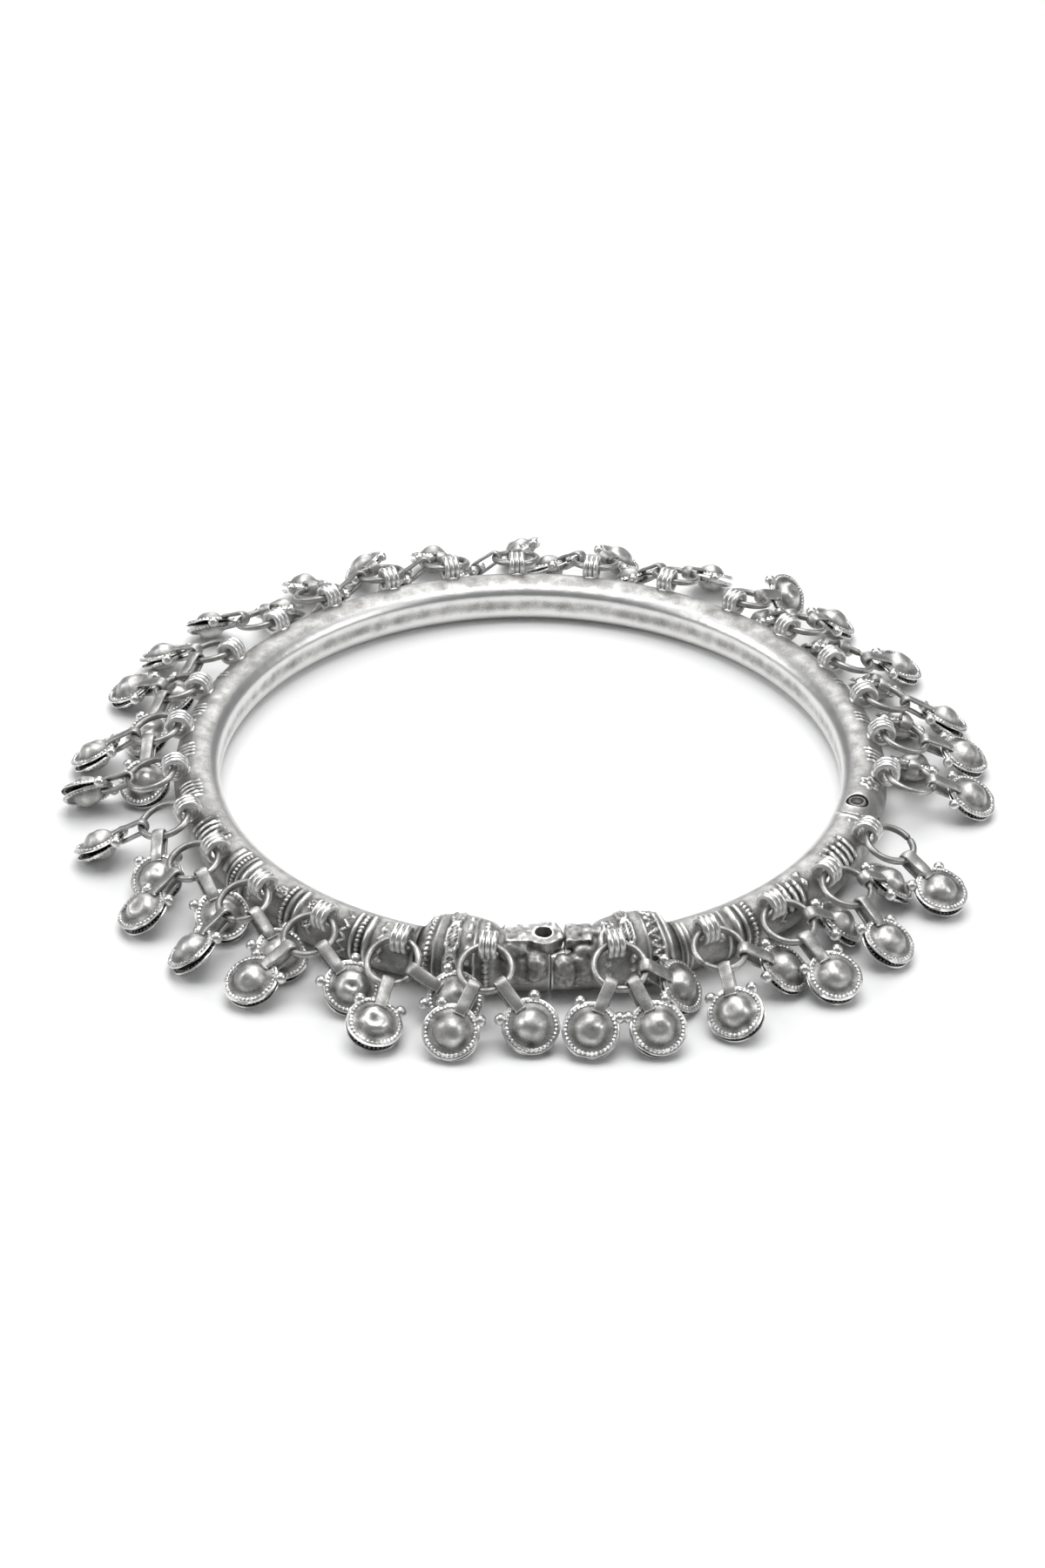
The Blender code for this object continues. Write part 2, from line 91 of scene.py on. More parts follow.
def named(name):  # the primitive that was just added, under its own name
    piece = bpy.context.object
    piece.name = name
    piece.data.name = name
    settle = piece.matrix_world.copy()
    piece.data.transform(settle)
    piece.matrix_world = Matrix.Identity(4)
    return piece


def joined(name, pieces):  # several shells as one piece
    clearSelection()
    for piece in pieces:
        piece.select_set(True)
    bpy.context.view_layer.objects.active = pieces[0]
    bpy.ops.object.join()
    pieces[0].name = name
    pieces[0].data.name = name
    return pieces[0]


def copied(piece, name):
    copy = piece.copy()
    copy.data = piece.data.copy()
    copy.name = name
    bpy.context.scene.collection.objects.link(copy)
    return copy


def applyModifiers(piece):
    pick(piece)
    for modifier in list(piece.modifiers):
        bpy.ops.object.modifier_apply(modifier=modifier.name)


def cutAway(piece, cutters):
    for cutter in cutters:
        hole = piece.modifiers.new("cut", "BOOLEAN")
        hole.operation = "DIFFERENCE"
        hole.solver = "EXACT"
        hole.object = cutter
    applyModifiers(piece)
    for cutter in cutters:
        bpy.data.objects.remove(cutter)


def smooth(piece, angle=40):
    pick(piece)
    bpy.ops.object.shade_smooth_by_angle(angle=math.radians(angle))


def cornersOf(piece):
    places = np.empty(len(piece.data.vertices) * 3)
    piece.data.vertices.foreach_get("co", places)
    return places.reshape(-1, 3)


def moveCorners(piece, places):
    piece.data.vertices.foreach_set("co", np.ascontiguousarray(places).ravel())
    piece.data.update()


def normalsOf(piece):
    normals = np.empty(len(piece.data.vertices) * 3)
    piece.data.vertices.foreach_get("normal", normals)
    return normals.reshape(-1, 3)


def roughen(piece, size, depth, seed):  # uneven hand work: moves points along their normals
    places = cornersOf(piece)
    shift = Vector((seed * 3.1, seed * 1.7, seed * 2.3))  # another stretch of the noise for each seed
    lift = [noise.noise(Vector(place) / size + shift) for place in places]
    moveCorners(piece, places + normalsOf(piece) * (np.array(lift) * depth)[:, None])


# marks how far each point lies below what is round it, with 0.5 for a level point, for tarnish plus painted
# crevice shade:
# depth is what counts as 0.5 more, rounds how often neighbours are averaged and worn how clean the ankle side
# is
def markHollows(piece, depth, rounds, worn=0):
    mesh = piece.data
    places = cornersOf(piece)
    ends = np.empty(len(mesh.edges) * 2, np.int32)
    mesh.edges.foreach_get("vertices", ends)
    first, second = ends.reshape(-1, 2).T
    count = len(places)
    degree = np.maximum(np.bincount(first, minlength=count) + np.bincount(second, minlength=count), 1)
    mean = places.copy()
    for _ in range(rounds):
        total = np.stack([
            np.bincount(first, mean[second, axis], count) + np.bincount(second, mean[first, axis], count)
            for axis in range(3)
        ], axis=1)
        mean = 0.3 * mean + 0.7 * total / degree[:, None]
    sunk = ((mean - places) * normalsOf(piece)).sum(axis=1) / depth
    inward = np.clip((hoop["radius"] - np.hypot(places[:, 0], places[:, 1])) / hoop["flat"], 0, 1)
    hollow = np.clip(0.5 + 0.5 * sunk - worn * inward, 0, 1.2)
    mesh.attributes.new("hollow", "FLOAT", "POINT").data.foreach_set("value", hollow.astype(np.float32))


# places on the hoop, the same as in the frame; angles go round the hoop in degrees, with 270 at the front

hoop = {
    "radius": 49.4 * mm,  # from the middle to the tube's centreline
    "tube": 3.6 * mm,
    "flat": 3.12 * mm,  # from the centreline to the ankle side, which is worn flat
    "gap": 0.3 * mm,
    "hinge": 343.5,
    "clasp": 273.1,
    "opens": 40,
}
collars = {
    "mid": 5.0 * mm,  # radius in the middle
    "end": 4.4 * mm,
    "neck": 3.9 * mm,
    "neckReach": 14,  # degrees from a collar's middle to the clasp
    "long": (253.6, 265.6),
    "gate": (280.2, 292.4),
    "edge": 1.1,  # a third of it is the share of half a collar over which its edge is rounded
}


def turned(angle, axis):
    return Matrix.Rotation(math.radians(angle), 4, axis)


def onHoop(azimuth, out=0.0, height=0.0):
    return turned(azimuth, "Z") @ Matrix.Translation((hoop["radius"] + out, 0, height))


def degreesFor(length):
    return math.degrees(length / hoop["radius"])


# silver finishes

silver = {
    "bright": (0.80, 0.795, 0.785),
    "worn": (0.40, 0.395, 0.385),
    # dark is the colour of the deepest hollows and the bells' insides: tarnish plus painted shade
    "dark": (0.03, 0.028, 0.025),
    "wornAt": 0.45,  # share of the way from bright to dark
    "startsAt": 0.72,  # level at which the silver begins to darken
    "endsAt": 1.55,
    "cloudShare": 0.42,  # so that the tarnish and painted shade don't end in a clean line
    "grainShare": 0.35,
    "tarnishAndShadeShare": 0.5,
    "dulled": 0.3,  # roughness that full tarnish and painted shade add
    "rubbed": 0.14,
    "tarnishedMetal": 0.75,
    "grainHeight": 0.35,
}


def link(tree, source, socket, target, into):
    tree.links.new(source.outputs[socket], target.inputs[into])


def timesPlus(tree, value, factor, added):  # value and added are each a node and the name of its socket
    node = tree.nodes.new("ShaderNodeMath")
    node.operation = "MULTIPLY_ADD"
    node.inputs[1].default_value = factor
    link(tree, *value, node, 0)
    link(tree, *added, node, 2)
    return node


def makeTarnishAndShadeGroup():  # darkens the hollows with tarnish and painted crevice shade, brightens what is rubbed, and gives both a grain
    group = bpy.data.node_groups.new("tarnishedAndShadedSilver", "ShaderNodeTree")
    for name, kind, start in (
        ("Position", "NodeSocketVector", None), ("Hollow", "NodeSocketFloat", 0.5),
        ("Cloud Size", "NodeSocketFloat", 500.0), ("Grain Size", "NodeSocketFloat", 5000.0),
        ("Tarnish And Shade", "NodeSocketFloat", 0.5), ("Shine", "NodeSocketFloat", 0.3),
    ):
        socket = group.interface.new_socket(name, in_out="INPUT", socket_type=kind)
        if start is not None:
            socket.default_value = start
    for name, kind in (("Colour", "NodeSocketColor"), ("Roughness", "NodeSocketFloat"),
                       ("Metal", "NodeSocketFloat"), ("Height", "NodeSocketFloat")):
        group.interface.new_socket(name, in_out="OUTPUT", socket_type=kind)
    nodes = group.nodes
    start = nodes.new("NodeGroupInput")
    end = nodes.new("NodeGroupOutput")

    cloud = nodes.new("ShaderNodeTexNoise")
    cloud.inputs["Detail"].default_value = 4
    grain = nodes.new("ShaderNodeTexNoise")
    grain.inputs["Detail"].default_value = 3
    grain.inputs["Roughness"].default_value = 0.65
    for texture, size in ((cloud, "Cloud Size"), (grain, "Grain Size")):
        link(group, start, "Position", texture, "Vector")
        link(group, start, size, texture, "Scale")

    unevenness = timesPlus(group, (cloud, "Fac"), silver["cloudShare"], (start, "Hollow"))
    grit = timesPlus(group, (grain, "Fac"), silver["grainShare"], (unevenness, "Value"))
    level = timesPlus(group, (start, "Tarnish And Shade"), silver["tarnishAndShadeShare"], (grit, "Value"))
    depth = nodes.new("ShaderNodeMapRange")
    depth.interpolation_type = "SMOOTHSTEP"
    depth.inputs["From Min"].default_value = silver["startsAt"]
    depth.inputs["From Max"].default_value = silver["endsAt"]
    link(group, level, "Value", depth, "Value")
    tint = nodes.new("ShaderNodeValToRGB")
    tint.color_ramp.elements[0].color = (*silver["bright"], 1)
    tint.color_ramp.elements[1].color = (*silver["dark"], 1)
    middle = tint.color_ramp.elements.new(silver["wornAt"])
    middle.color = (*silver["worn"], 1)
    link(group, depth, "Result", tint, "Fac")

    dullness = timesPlus(group, (depth, "Result"), silver["dulled"], (start, "Shine"))
    rubbing = timesPlus(group, (cloud, "Fac"), silver["rubbed"], (dullness, "Value"))
    metalness = nodes.new("ShaderNodeMapRange")
    metalness.inputs["To Min"].default_value = 1.0
    metalness.inputs["To Max"].default_value = silver["tarnishedMetal"]
    link(group, depth, "Result", metalness, "Value")
    height = timesPlus(group, (grain, "Fac"), silver["grainHeight"], (cloud, "Fac"))

    link(group, tint, "Color", end, "Colour")
    link(group, rubbing, "Value", end, "Roughness")
    link(group, metalness, "Result", end, "Metal")
    link(group, height, "Value", end, "Height")
    return group


tarnishAndShadeGroup = makeTarnishAndShadeGroup()


# shine is the roughness of clean silver, bump and depth are the strength and height of the uneven surface
def silverFinish(name, tarnishAndShade, shine, cloud=500, grain=5000, bump=0.25, depth=0.06 * mm):
    material = bpy.data.materials.new(name)
    material.use_nodes = True
    tree = material.node_tree
    shader = tree.nodes["Principled BSDF"]
    place = tree.nodes.new("ShaderNodeTexCoord")
    # the hollow attribute darkens sunk points: tarnish in the recesses plus painted crevice shade
    sunk = tree.nodes.new("ShaderNodeAttribute")
    sunk.attribute_name = "hollow"
    group = tree.nodes.new("ShaderNodeGroup")
    group.node_tree = tarnishAndShadeGroup
    group.inputs["Cloud Size"].default_value = cloud
    group.inputs["Grain Size"].default_value = grain
    group.inputs["Tarnish And Shade"].default_value = tarnishAndShade
    group.inputs["Shine"].default_value = shine
    link(tree, place, "Object", group, "Position")
    link(tree, sunk, "Fac", group, "Hollow")
    relief = tree.nodes.new("ShaderNodeBump")
    relief.inputs["Strength"].default_value = bump
    relief.inputs["Distance"].default_value = depth
    link(tree, group, "Height", relief, "Height")
    link(tree, group, "Colour", shader, "Base Color")
    link(tree, group, "Roughness", shader, "Roughness")
    link(tree, group, "Metal", shader, "Metallic")
    link(tree, relief, "Normal", shader, "Normal")
    return material


hoopSilver = silverFinish("hoopSilver", tarnishAndShade=0.6, shine=0.26, bump=0.8, depth=0.09 * mm)
bellSilver = silverFinish("bellSilver", tarnishAndShade=0.58, shine=0.27, bump=0.6, depth=0.08 * mm)
fittingSilver = silverFinish("fittingSilver", tarnishAndShade=0.62, shine=0.24, bump=0.4)
ringSilver = silverFinish("ringSilver", tarnishAndShade=1.15, shine=0.2, bump=0.25)
# the inside of the caps: tarnish plus painted shade, darker than any outside finish
bellInsidePaintedShade = silverFinish("bellInsidePaintedShade", tarnishAndShade=1.4, shine=0.5)
print("finishes made")


# relief along the hoop

# relief by kind: at is the angle round the hoop, low to high the stretch across the tube from 0 outward to
# 90 on top, and across the middle of a rosette or leaf. The pitch of bars is in mm and that of the others in
# degrees across, size is half a width in mm, and raised is in mm
reliefTables = {
    "band": (
        ("at", "low", "high", "size", "raised"),
        (216.9, -75, 104, 0.22, 0.26), (218.9, -75, 104, 0.26, 0.28), (220.2, -75, 102, 0.55, 0.3),
        (230.8, -75, 102, 0.34, 0.3), (232.2, -75, 100, 0.5, 0.32), (242.6, -75, 104, 0.26, 0.28),
        (245.0, -75, 104, 0.5, 0.34), (252.6, -75, 110, 0.24, 0.24), (256.2, -75, 120, 0.18, 0.22),
        (262.2, -75, 120, 0.18, 0.2), (287.8, -75, 120, 0.18, 0.24), (290.3, -75, 120, 0.22, 0.26),
        (291.4, -75, 120, 0.22, 0.24), (293.5, -75, 105, 0.16, 0.14), (294.3, -75, 105, 0.16, 0.14),
        (295.1, -75, 100, 0.16, 0.12), (301.6, -75, 100, 0.22, 0.26), (303.4, -75, 102, 0.6, 0.32),
        (304.9, -75, 100, 0.22, 0.26), (338.6, -75, 100, 0.2, 0.2),
    ),
    "patch": (
        ("at", "low", "high", "size", "raised"),
        (215.6, 20, 98, 0.55, 0.16), (300.2, 20, 90, 0.55, 0.16),
    ),
    "bars": (
        ("at", "count", "pitch", "low", "high", "raised"),
        (22.0, 2, 1.0, 40, 80, 0.14), (10.0, 3, 1.0, 35, 88, 0.18), (-2.0, 4, 1.0, 32, 92, 0.24),
        (158.5, 2, 0.9, 40, 82, 0.16), (170.5, 4, 0.9, 38, 86, 0.2), (183.0, 4, 0.95, 34, 90, 0.24),
        (195.0, 5, 0.95, 30, 94, 0.28), (207.0, 5, 1.15, 22, 100, 0.32), (315.4, 3, 1.25, 15, 98, 0.32),
        (328.6, 5, 1.3, 18, 98, 0.34),
    ),
    "beads": (
        ("at", "pitch", "low", "high", "size", "raised"),
        (210.6, 10, 20, 100, 0.32, 0.22), (217.9, 9, -30, 100, 0.34, 0.3), (229.6, 10, -30, 100, 0.36, 0.3),
        (243.7, 10, -30, 100, 0.36, 0.3), (255.0, 9, -72, 112, 0.42, 0.32),
        (263.9, 10, -72, 112, 0.4, 0.28), (306.3, 11, -25, 98, 0.42, 0.3),
    ),
    "zigzag": (
        ("at", "pitch", "low", "high", "size", "raised"),
        (235.2, 34, 0, 96, 0.16, 0.22), (241.0, 26, -20, 98, 0.2, 0.26), (289.0, 16, -72, 112, 0.26, 0.32),
        (312.0, 24, 0, 92, 0.2, 0.26),
    ),
    "diamonds": (
        ("at", "pitch", "low", "high", "size", "raised"),
        (222.4, 22, 0, 92, 0.55, 0.24), (247.3, 24, -10, 96, 0.6, 0.26), (318.6, 30, 40, 98, 0.6, 0.26),
    ),
    "dots": (
        ("at", "count", "low", "high", "size", "raised"),
        (174.0, 1, 55, 75, 0.35, 0.18), (261.2, 6, -10, 112, 0.36, 0.28), (281.6, 7, -30, 110, 0.34, 0.26),
        (285.2, 4, -35, 30, 0.4, 0.3), (337.4, 3, 40, 95, 0.3, 0.18),
    ),
    "rosette": (
        ("at", "across", "size", "raised"),
        (-10.6, 72, 1.5, 0.2), (228.0, 62, 0.9, 0.2), (234.3, 70, 0.8, 0.26), (234.6, 28, 0.8, 0.26),
        (282.4, 84, 0.8, 0.26),
    ),
    "leaf": (
        ("at", "across", "size", "raised"),
        (258.8, 58, 1.7, 0.36), (258.8, 8, 1.7, 0.34), (258.8, 108, 1.7, 0.3), (285.0, 66, 1.6, 0.36),
        (285.0, 112, 1.5, 0.3),
    ),
}
reliefPanels = [
    dict(zip(columns, row), kind=kind) for kind, (columns, *rows) in reliefTables.items() for row in rows
]


def hump(distance, width):  # 1 in the middle, falling off to 0 at the width
    return np.clip(1 - np.abs(distance) / width, 0, 1) ** 0.6


def span(panel, across, soft=6):  # 1 from low to high, falling off to 0 within soft degrees
    return np.clip((across - panel["low"]) / soft, 0, 1) * np.clip((panel["high"] - across) / soft, 0, 1)


def fromNearest(panel, across, arc):  # mm across the tube to the middle of the nearest bead or diamond
    return ((across / panel["pitch"] + 0.5) % 1 - 0.5) * panel["pitch"] * arc


# each kind's shape from 0 to 1, with along in mm from the panel, across in degrees and arc in mm for a degree
def bandShape(panel, along, across, arc):
    return hump(along, panel["size"]) * span(panel, across)


def patchShape(panel, along, across, arc):
    return np.clip(1.5 * hump(along, panel["size"]), 0, 1) * span(panel, across)


def barsShape(panel, along, across, arc):  # slanting bars that taper towards high
    low, high, pitch = panel["low"], panel["high"], panel["pitch"]
    taper = np.clip((high - across) / (0.55 * (high - low)), 0.05, 1) * np.clip((across - low) / 10, 0.3, 1)
    lean = (across - (low + high) / 2) * 0.006
    shape = np.zeros_like(along)
    for number in range(panel["count"]):
        middle = (number - (panel["count"] - 1) / 2) * pitch
        bar = np.clip(1.6 * hump(along - middle - lean, 0.42 * pitch * taper), 0, 1)
        shape = np.maximum(shape, bar)
    return shape * span(panel, across)


def beadsShape(panel, along, across, arc):
    half = 0.45 * panel["pitch"] * arc
    reach = np.sqrt((along / panel["size"]) ** 2 + (fromNearest(panel, across, arc) / half) ** 2)
    return np.sqrt(np.clip(1 - reach ** 2, 0, 1)) * (span(panel, across) > 0.5)


def zigzagShape(panel, along, across, arc):
    wave = (np.abs((across / panel["pitch"]) % 1 - 0.5) * 4 - 1) * panel["size"] * 2.6
    return hump(along - wave, panel["size"] * 1.4) * span(panel, across)


def diamondsShape(panel, along, across, arc):  # each with a shallow dimple
    half = 0.46 * panel["pitch"] * arc
    reach = np.abs(along) / panel["size"] + np.abs(fromNearest(panel, across, arc)) / half
    dimple = 1 - 0.6 * np.clip((0.4 - reach) * 6, 0, 1)
    return np.clip((1 - reach) * 3, 0, 1) * dimple * (span(panel, across) > 0.5)


def dotsShape(panel, along, across, arc):
    shape = np.zeros_like(along)
    for number in range(panel["count"]):
        spot = panel["low"] + (panel["high"] - panel["low"]) * (number + 0.5) / panel["count"]
        reach = np.sqrt(along ** 2 + ((across - spot) * arc) ** 2) / panel["size"]
        shape = np.maximum(shape, np.sqrt(np.clip(1 - reach ** 2, 0, 1)))
    return shape


def rosetteShape(panel, along, across, arc):  # six petals round a button
    sideways = (across - panel["across"]) * arc
    reach = np.sqrt(along ** 2 + sideways ** 2) / panel["size"]
    petals = 0.78 + 0.16 * np.cos(6 * np.arctan2(sideways, along))
    return hump(reach - petals, 0.22) + hump(reach, 0.34)


def leafShape(panel, along, across, arc):  # an oval rim with a rib and veins
    sideways = (across - panel["across"]) * arc
    reach = np.sqrt((along / (0.55 * panel["size"])) ** 2 + (sideways / (1.1 * panel["size"])) ** 2)
    veins = hump(((sideways - np.abs(along) * 0.8) / 0.45 + 0.5) % 1 - 0.5, 0.28) * 0.5
    rib = hump(along, 0.14)
    return hump(reach - 0.9, 0.2) + np.maximum(veins, rib) * (reach < 0.85)


reliefShapes = {
    "band": bandShape, "patch": patchShape, "bars": barsShape, "beads": beadsShape, "zigzag": zigzagShape,
    "diamonds": diamondsShape, "dots": dotsShape, "rosette": rosetteShape, "leaf": leafShape,
}


def reliefAt(azimuth, across):  # how far the cast relief stands up
    arc = math.radians(1) * hoop["tube"] / mm
    raised = np.zeros_like(azimuth)
    for panel in reliefPanels:
        offset = (azimuth - panel["at"] + 180) % 360 - 180
        near = np.abs(offset) < tube["panelReach"]
        along = offset[near] * math.radians(1) * (hoop["radius"] + tube["reliefOut"]) / mm
        shape = reliefShapes[panel["kind"]](panel, along, across[near], arc)
        raised[near] = np.maximum(raised[near], np.clip(shape, 0, 1) * panel["raised"] * mm)
    return raised


tube = {
    "fineStep": 0.27,  # degrees between sections where there is relief
    "plainStep": 1.3,
    "fineFrom": -76,  # stretch across the tube that has relief
    "fineTo": 125,
    "fineAcross": 3.0,
    "plainAcross": 9.0,
    "panelReach": 6,  # degrees to both sides of a panel that its relief may cover
    "reliefOut": 2 * mm,  # how far outside the centreline the relief's mm are measured
    "flatFrom": -0.8,  # cosine across the tube where the ankle side's flat begins
    "longFine": ((-30, 24), (154, 280)),  # stretches round the hoop that have relief
    "gateFine": ((270, 350),),
    "seam": 0.004 * mm,
    "hollows": (0.17 * mm, 10, 0.14),  # depth, rounds and worn for markHollows
}


def steppedStations(start, stop, fineRanges):
    stations = [start]
    while stations[-1] < stop - 1e-6:
        here = stations[-1]
        fine = any(low <= here < high for low, high in fineRanges)
        stations.append(min(stop, here + (tube["fineStep"] if fine else tube["plainStep"])))
    return np.array(stations)


def acrossStations():
    fine = np.arange(tube["fineFrom"], tube["fineTo"], tube["fineAcross"])
    plain = np.arange(tube["fineTo"], tube["fineFrom"] + 360 + 1e-6, tube["plainAcross"])
    plain[-1] = tube["fineFrom"] + 360
    return np.concatenate([fine, plain])


def radiusAt(azimuth):  # the tube without its relief, with collars and necks
    radius = np.full_like(azimuth, hoop["tube"])
    edge = collars["edge"]
    for (first, last), neckSide in ((collars["long"], 1), (collars["gate"], -1)):
        middle = (first + last) / 2
        share = (azimuth - middle) / (last - first) * 2
        barrel = collars["end"] + (collars["mid"] - collars["end"]) * np.clip(1 - share ** 2, 0, 1)
        beyond = (azimuth - middle) * neckSide
        onNeck = (beyond > 0) & (beyond < collars["neckReach"])
        besideCollar = np.where(onNeck, collars["neck"], hoop["tube"])
        radius = np.where(onNeck, collars["neck"], radius)
        blend = np.clip((1 + edge / 6 - np.abs(share)) / (edge / 3), 0, 1)
        blend = blend * blend * (3 - 2 * blend)
        rounded = besideCollar + (barrel - besideCollar) * blend
        radius = np.where(np.abs(share) < 1 + edge / 3, rounded, radius)
    return radius


def closeEnds(arm):
    pick(arm)
    bpy.ops.object.mode_set(mode="EDIT")
    bpy.ops.mesh.select_all(action="SELECT")
    bpy.ops.mesh.remove_doubles(threshold=tube["seam"])
    bpy.ops.mesh.select_all(action="DESELECT")
    bpy.ops.mesh.select_mode(type="EDGE")
    bpy.ops.mesh.select_non_manifold(extend=False)
    bpy.ops.mesh.fill_holes(sides=0)
    bpy.ops.mesh.select_all(action="SELECT")
    bpy.ops.mesh.normals_make_consistent(inside=False)
    bpy.ops.object.mode_set(mode="OBJECT")


def makeArm(name, start, stop, fineRanges, roundEnd=None):
    azimuths = steppedStations(start, stop, fineRanges)
    angles = acrossStations()
    bpy.ops.mesh.primitive_grid_add(x_subdivisions=len(azimuths) - 1, y_subdivisions=len(angles) - 1, size=1)
    arm = named(name)
    grid = cornersOf(arm)
    azimuth = np.interp((grid[:, 0] + 0.5) * (len(azimuths) - 1), np.arange(len(azimuths)), azimuths)
    across = np.interp((grid[:, 1] + 0.5) * (len(angles) - 1), np.arange(len(angles)), angles)
    smoothRadius = radiusAt(azimuth % 360)
    folded = np.where(across > 180, across - 360, across)  # from -180 to 180, 0 pointing outward
    raised = reliefAt(azimuth, folded)
    cosine, sine = np.cos(np.radians(across)), np.sin(np.radians(across))
    section = smoothRadius.copy()
    ankleSide = cosine < tube["flatFrom"]
    flatShare = hoop["flat"] / hoop["tube"]
    section[ankleSide] *= np.minimum(1, flatShare / -cosine[ankleSide])
    out = cosine * (section + raised)
    up = np.maximum(smoothRadius, hoop["tube"]) + sine * (section + raised)
    if roundEnd is not None:  # rounded in plan about the hinge's axis
        past = np.maximum(0, (roundEnd - azimuth) * math.radians(1) * hoop["radius"])
        widest = np.sqrt(np.clip(hoop["tube"] ** 2 - past ** 2, 0, None))
        out = np.where(past > 0, np.clip(out, -widest, widest), out)
    turn = np.radians(azimuth)
    reach = hoop["radius"] + out
    moveCorners(arm, np.stack([reach * np.cos(turn), reach * np.sin(turn), up], axis=1))
    closeEnds(arm)
    return arm


# drops round the hoop: ear loops, jump rings and bells

loop = {"hole": 1.3 * mm, "strap": 0.65 * mm, "wide": 2.5 * mm, "sink": 0.45 * mm, "sides": 8}
ring = {
    "radius": 3.5 * mm,
    "wire": 0.5 * mm,
    "jointWide": 0.05,  # radians, where the wire's ends meet
    "jointThinner": 0.35,
    "jointWithin": 1.2,  # radians to either side of the ring's X axis
    "uneven": (2.5 * mm, 0.05 * mm),  # size and depth for roughen
}
bell = {
    "radius": 3.9 * mm,
    "slit": 0.12 * mm,  # half of it, at the edge beside the strap
    "spread": 3.0,  # degrees that each cap is tipped open
    "strap": 2.7 * mm,  # from the jump ring's wire to the bell's edge
    "sides": 10,
    "plainRows": ((1.3, 2.1), (2.35, 0.5), (3.9, 0.0)),  # radius and height in mm, as in the frame
    "plainHead": (-0.65, 0.85, 0.75),  # the strap's corner in mm, as in the frame
    "lowest": 0.05 * mm,  # height of the plain bell over the floor
    "droop": (-50, 88),
    "droopSteps": 14,
    "clear": 0.02 * mm,  # height of the finished bell over the floor
    "hollows": (0.34 * mm, 8),  # depth and rounds for markHollows
}

# lean, yaw and roll turn the jump ring; each bell is hooked at an angle round the ring and twisted
dropStyles = {
    "left": {"lean": 15, "yaw": -2, "roll": 0, "bells": ((-14, -8), (76, 0))},
    "middle": {"lean": 16, "yaw": 0, "roll": 3, "bells": ((0, 6), (78, 0))},
    "right": {"lean": 14, "yaw": 2, "roll": -2, "bells": ((10, 14), (80, -6))},
    "turned": {"lean": 14, "yaw": 0, "roll": 0, "bells": ((-6, -30), (82, 10))},
    "wide": {"lean": 16, "yaw": 0, "roll": 0, "bells": ((-20, 0), (68, 0))},
    "fan": {"lean": 22, "yaw": 0, "roll": 0, "bells": ((-34, 0), (20, 4), (78, 0))},
    "pair": {"lean": 22, "yaw": 0, "roll": 0, "bells": ((-22, -6), (44, 4))},
    "spread": {"lean": 16, "yaw": 0, "roll": 0, "bells": ((0, 25), (76, -15))},
    "close": {"lean": 16, "yaw": 0, "roll": 0, "bells": ((-14, 25), (62, 0))},
    "crossed": {"lean": 16, "yaw": 0, "roll": 0, "bells": ((14, 25), (-62, 0))},
    "steep": {"lean": 24, "yaw": 0, "roll": 0, "bells": ((6, -20), (76, 15))},
    "oneLeft": {"lean": 16, "yaw": -3, "roll": 0, "bells": ((-16, 10),)},
    "oneEdge": {"lean": 16, "yaw": 0, "roll": 0, "bells": ((-8, 50),)},
}

drops = (  # angle round the hoop, height on the tube, and how it lies
    (93.0, 58, "turned"), (79.5, 58, "close"), (65.5, 57, "left"), (52.0, 55, "oneEdge"),
    (40.0, 53, "right"), (27.5, 54, "middle"), (15.5, 52, "left"), (4.0, 52, "middle"),
    (352.5, 50, "right"), (335.5, 46, "oneLeft"), (322.0, 50, "left"), (309.5, 53, "middle"),
    (297.5, 54, "close"), (282.5, 50, "fan"), (264.3, 52, "pair"), (251.0, 54, "steep"),
    (238.0, 52, "wide"), (225.5, 52, "spread"), (213.0, 50, "right"), (201.5, 50, "close"),
    (189.0, 50, "oneEdge"), (176.5, 50, "right"), (164.5, 50, "left"), (152.5, 50, "middle"),
    (140.5, 52, "crossed"), (128.5, 55, "oneLeft"), (116.5, 57, "turned"), (105.0, 58, "middle"),
)
gateDrops = (10, 11, 12, 13, 14)


def loopPlace(at, rise):
    base = hoop["tube"]
    for first, last in (collars["long"], collars["gate"]):
        if first <= at <= last:
            fromMiddle = abs(2 * at - first - last) / (last - first)
            base = collars["mid"] + fromMiddle * (collars["end"] - collars["mid"])
    reach = base + loop["hole"] + loop["strap"] - loop["sink"]
    angle = math.radians(rise)
    return onHoop(at, reach * math.cos(angle), base + reach * math.sin(angle))


def ringPlace(at, rise, style):
    sagitta = ring["radius"] - math.sqrt(ring["radius"] ** 2 - (loop["wide"] / 2) ** 2)
    seat = loop["hole"] * math.cos(math.pi / loop["sides"]) - hoop["gap"] - ring["wire"] - sagitta
    turn = turned(style["yaw"], "Z") @ turned(style["lean"], "Y") @ turned(style["roll"], "X")
    return loopPlace(at, rise) @ turn @ Matrix.Translation((ring["radius"] + seat, 0, 0))


def bellPlace(ringAt, hook, twist, droop):
    out = Matrix.Translation((ring["radius"], 0, 0))
    return ringAt @ turned(hook, "Z") @ out @ Matrix.Rotation(droop, 4, "Y") @ turned(twist, "X")


def capPlace(side):  # upper or lower cap, tipped open about the edge beside the strap
    flip = turned(0 if side > 0 else 180, "X")
    back = Matrix.Translation((bell["strap"], 0, 0))
    edge = Matrix.Translation((bell["radius"], 0, bell["slit"]))
    return flip @ back @ turned(-bell["spread"], "Y") @ edge


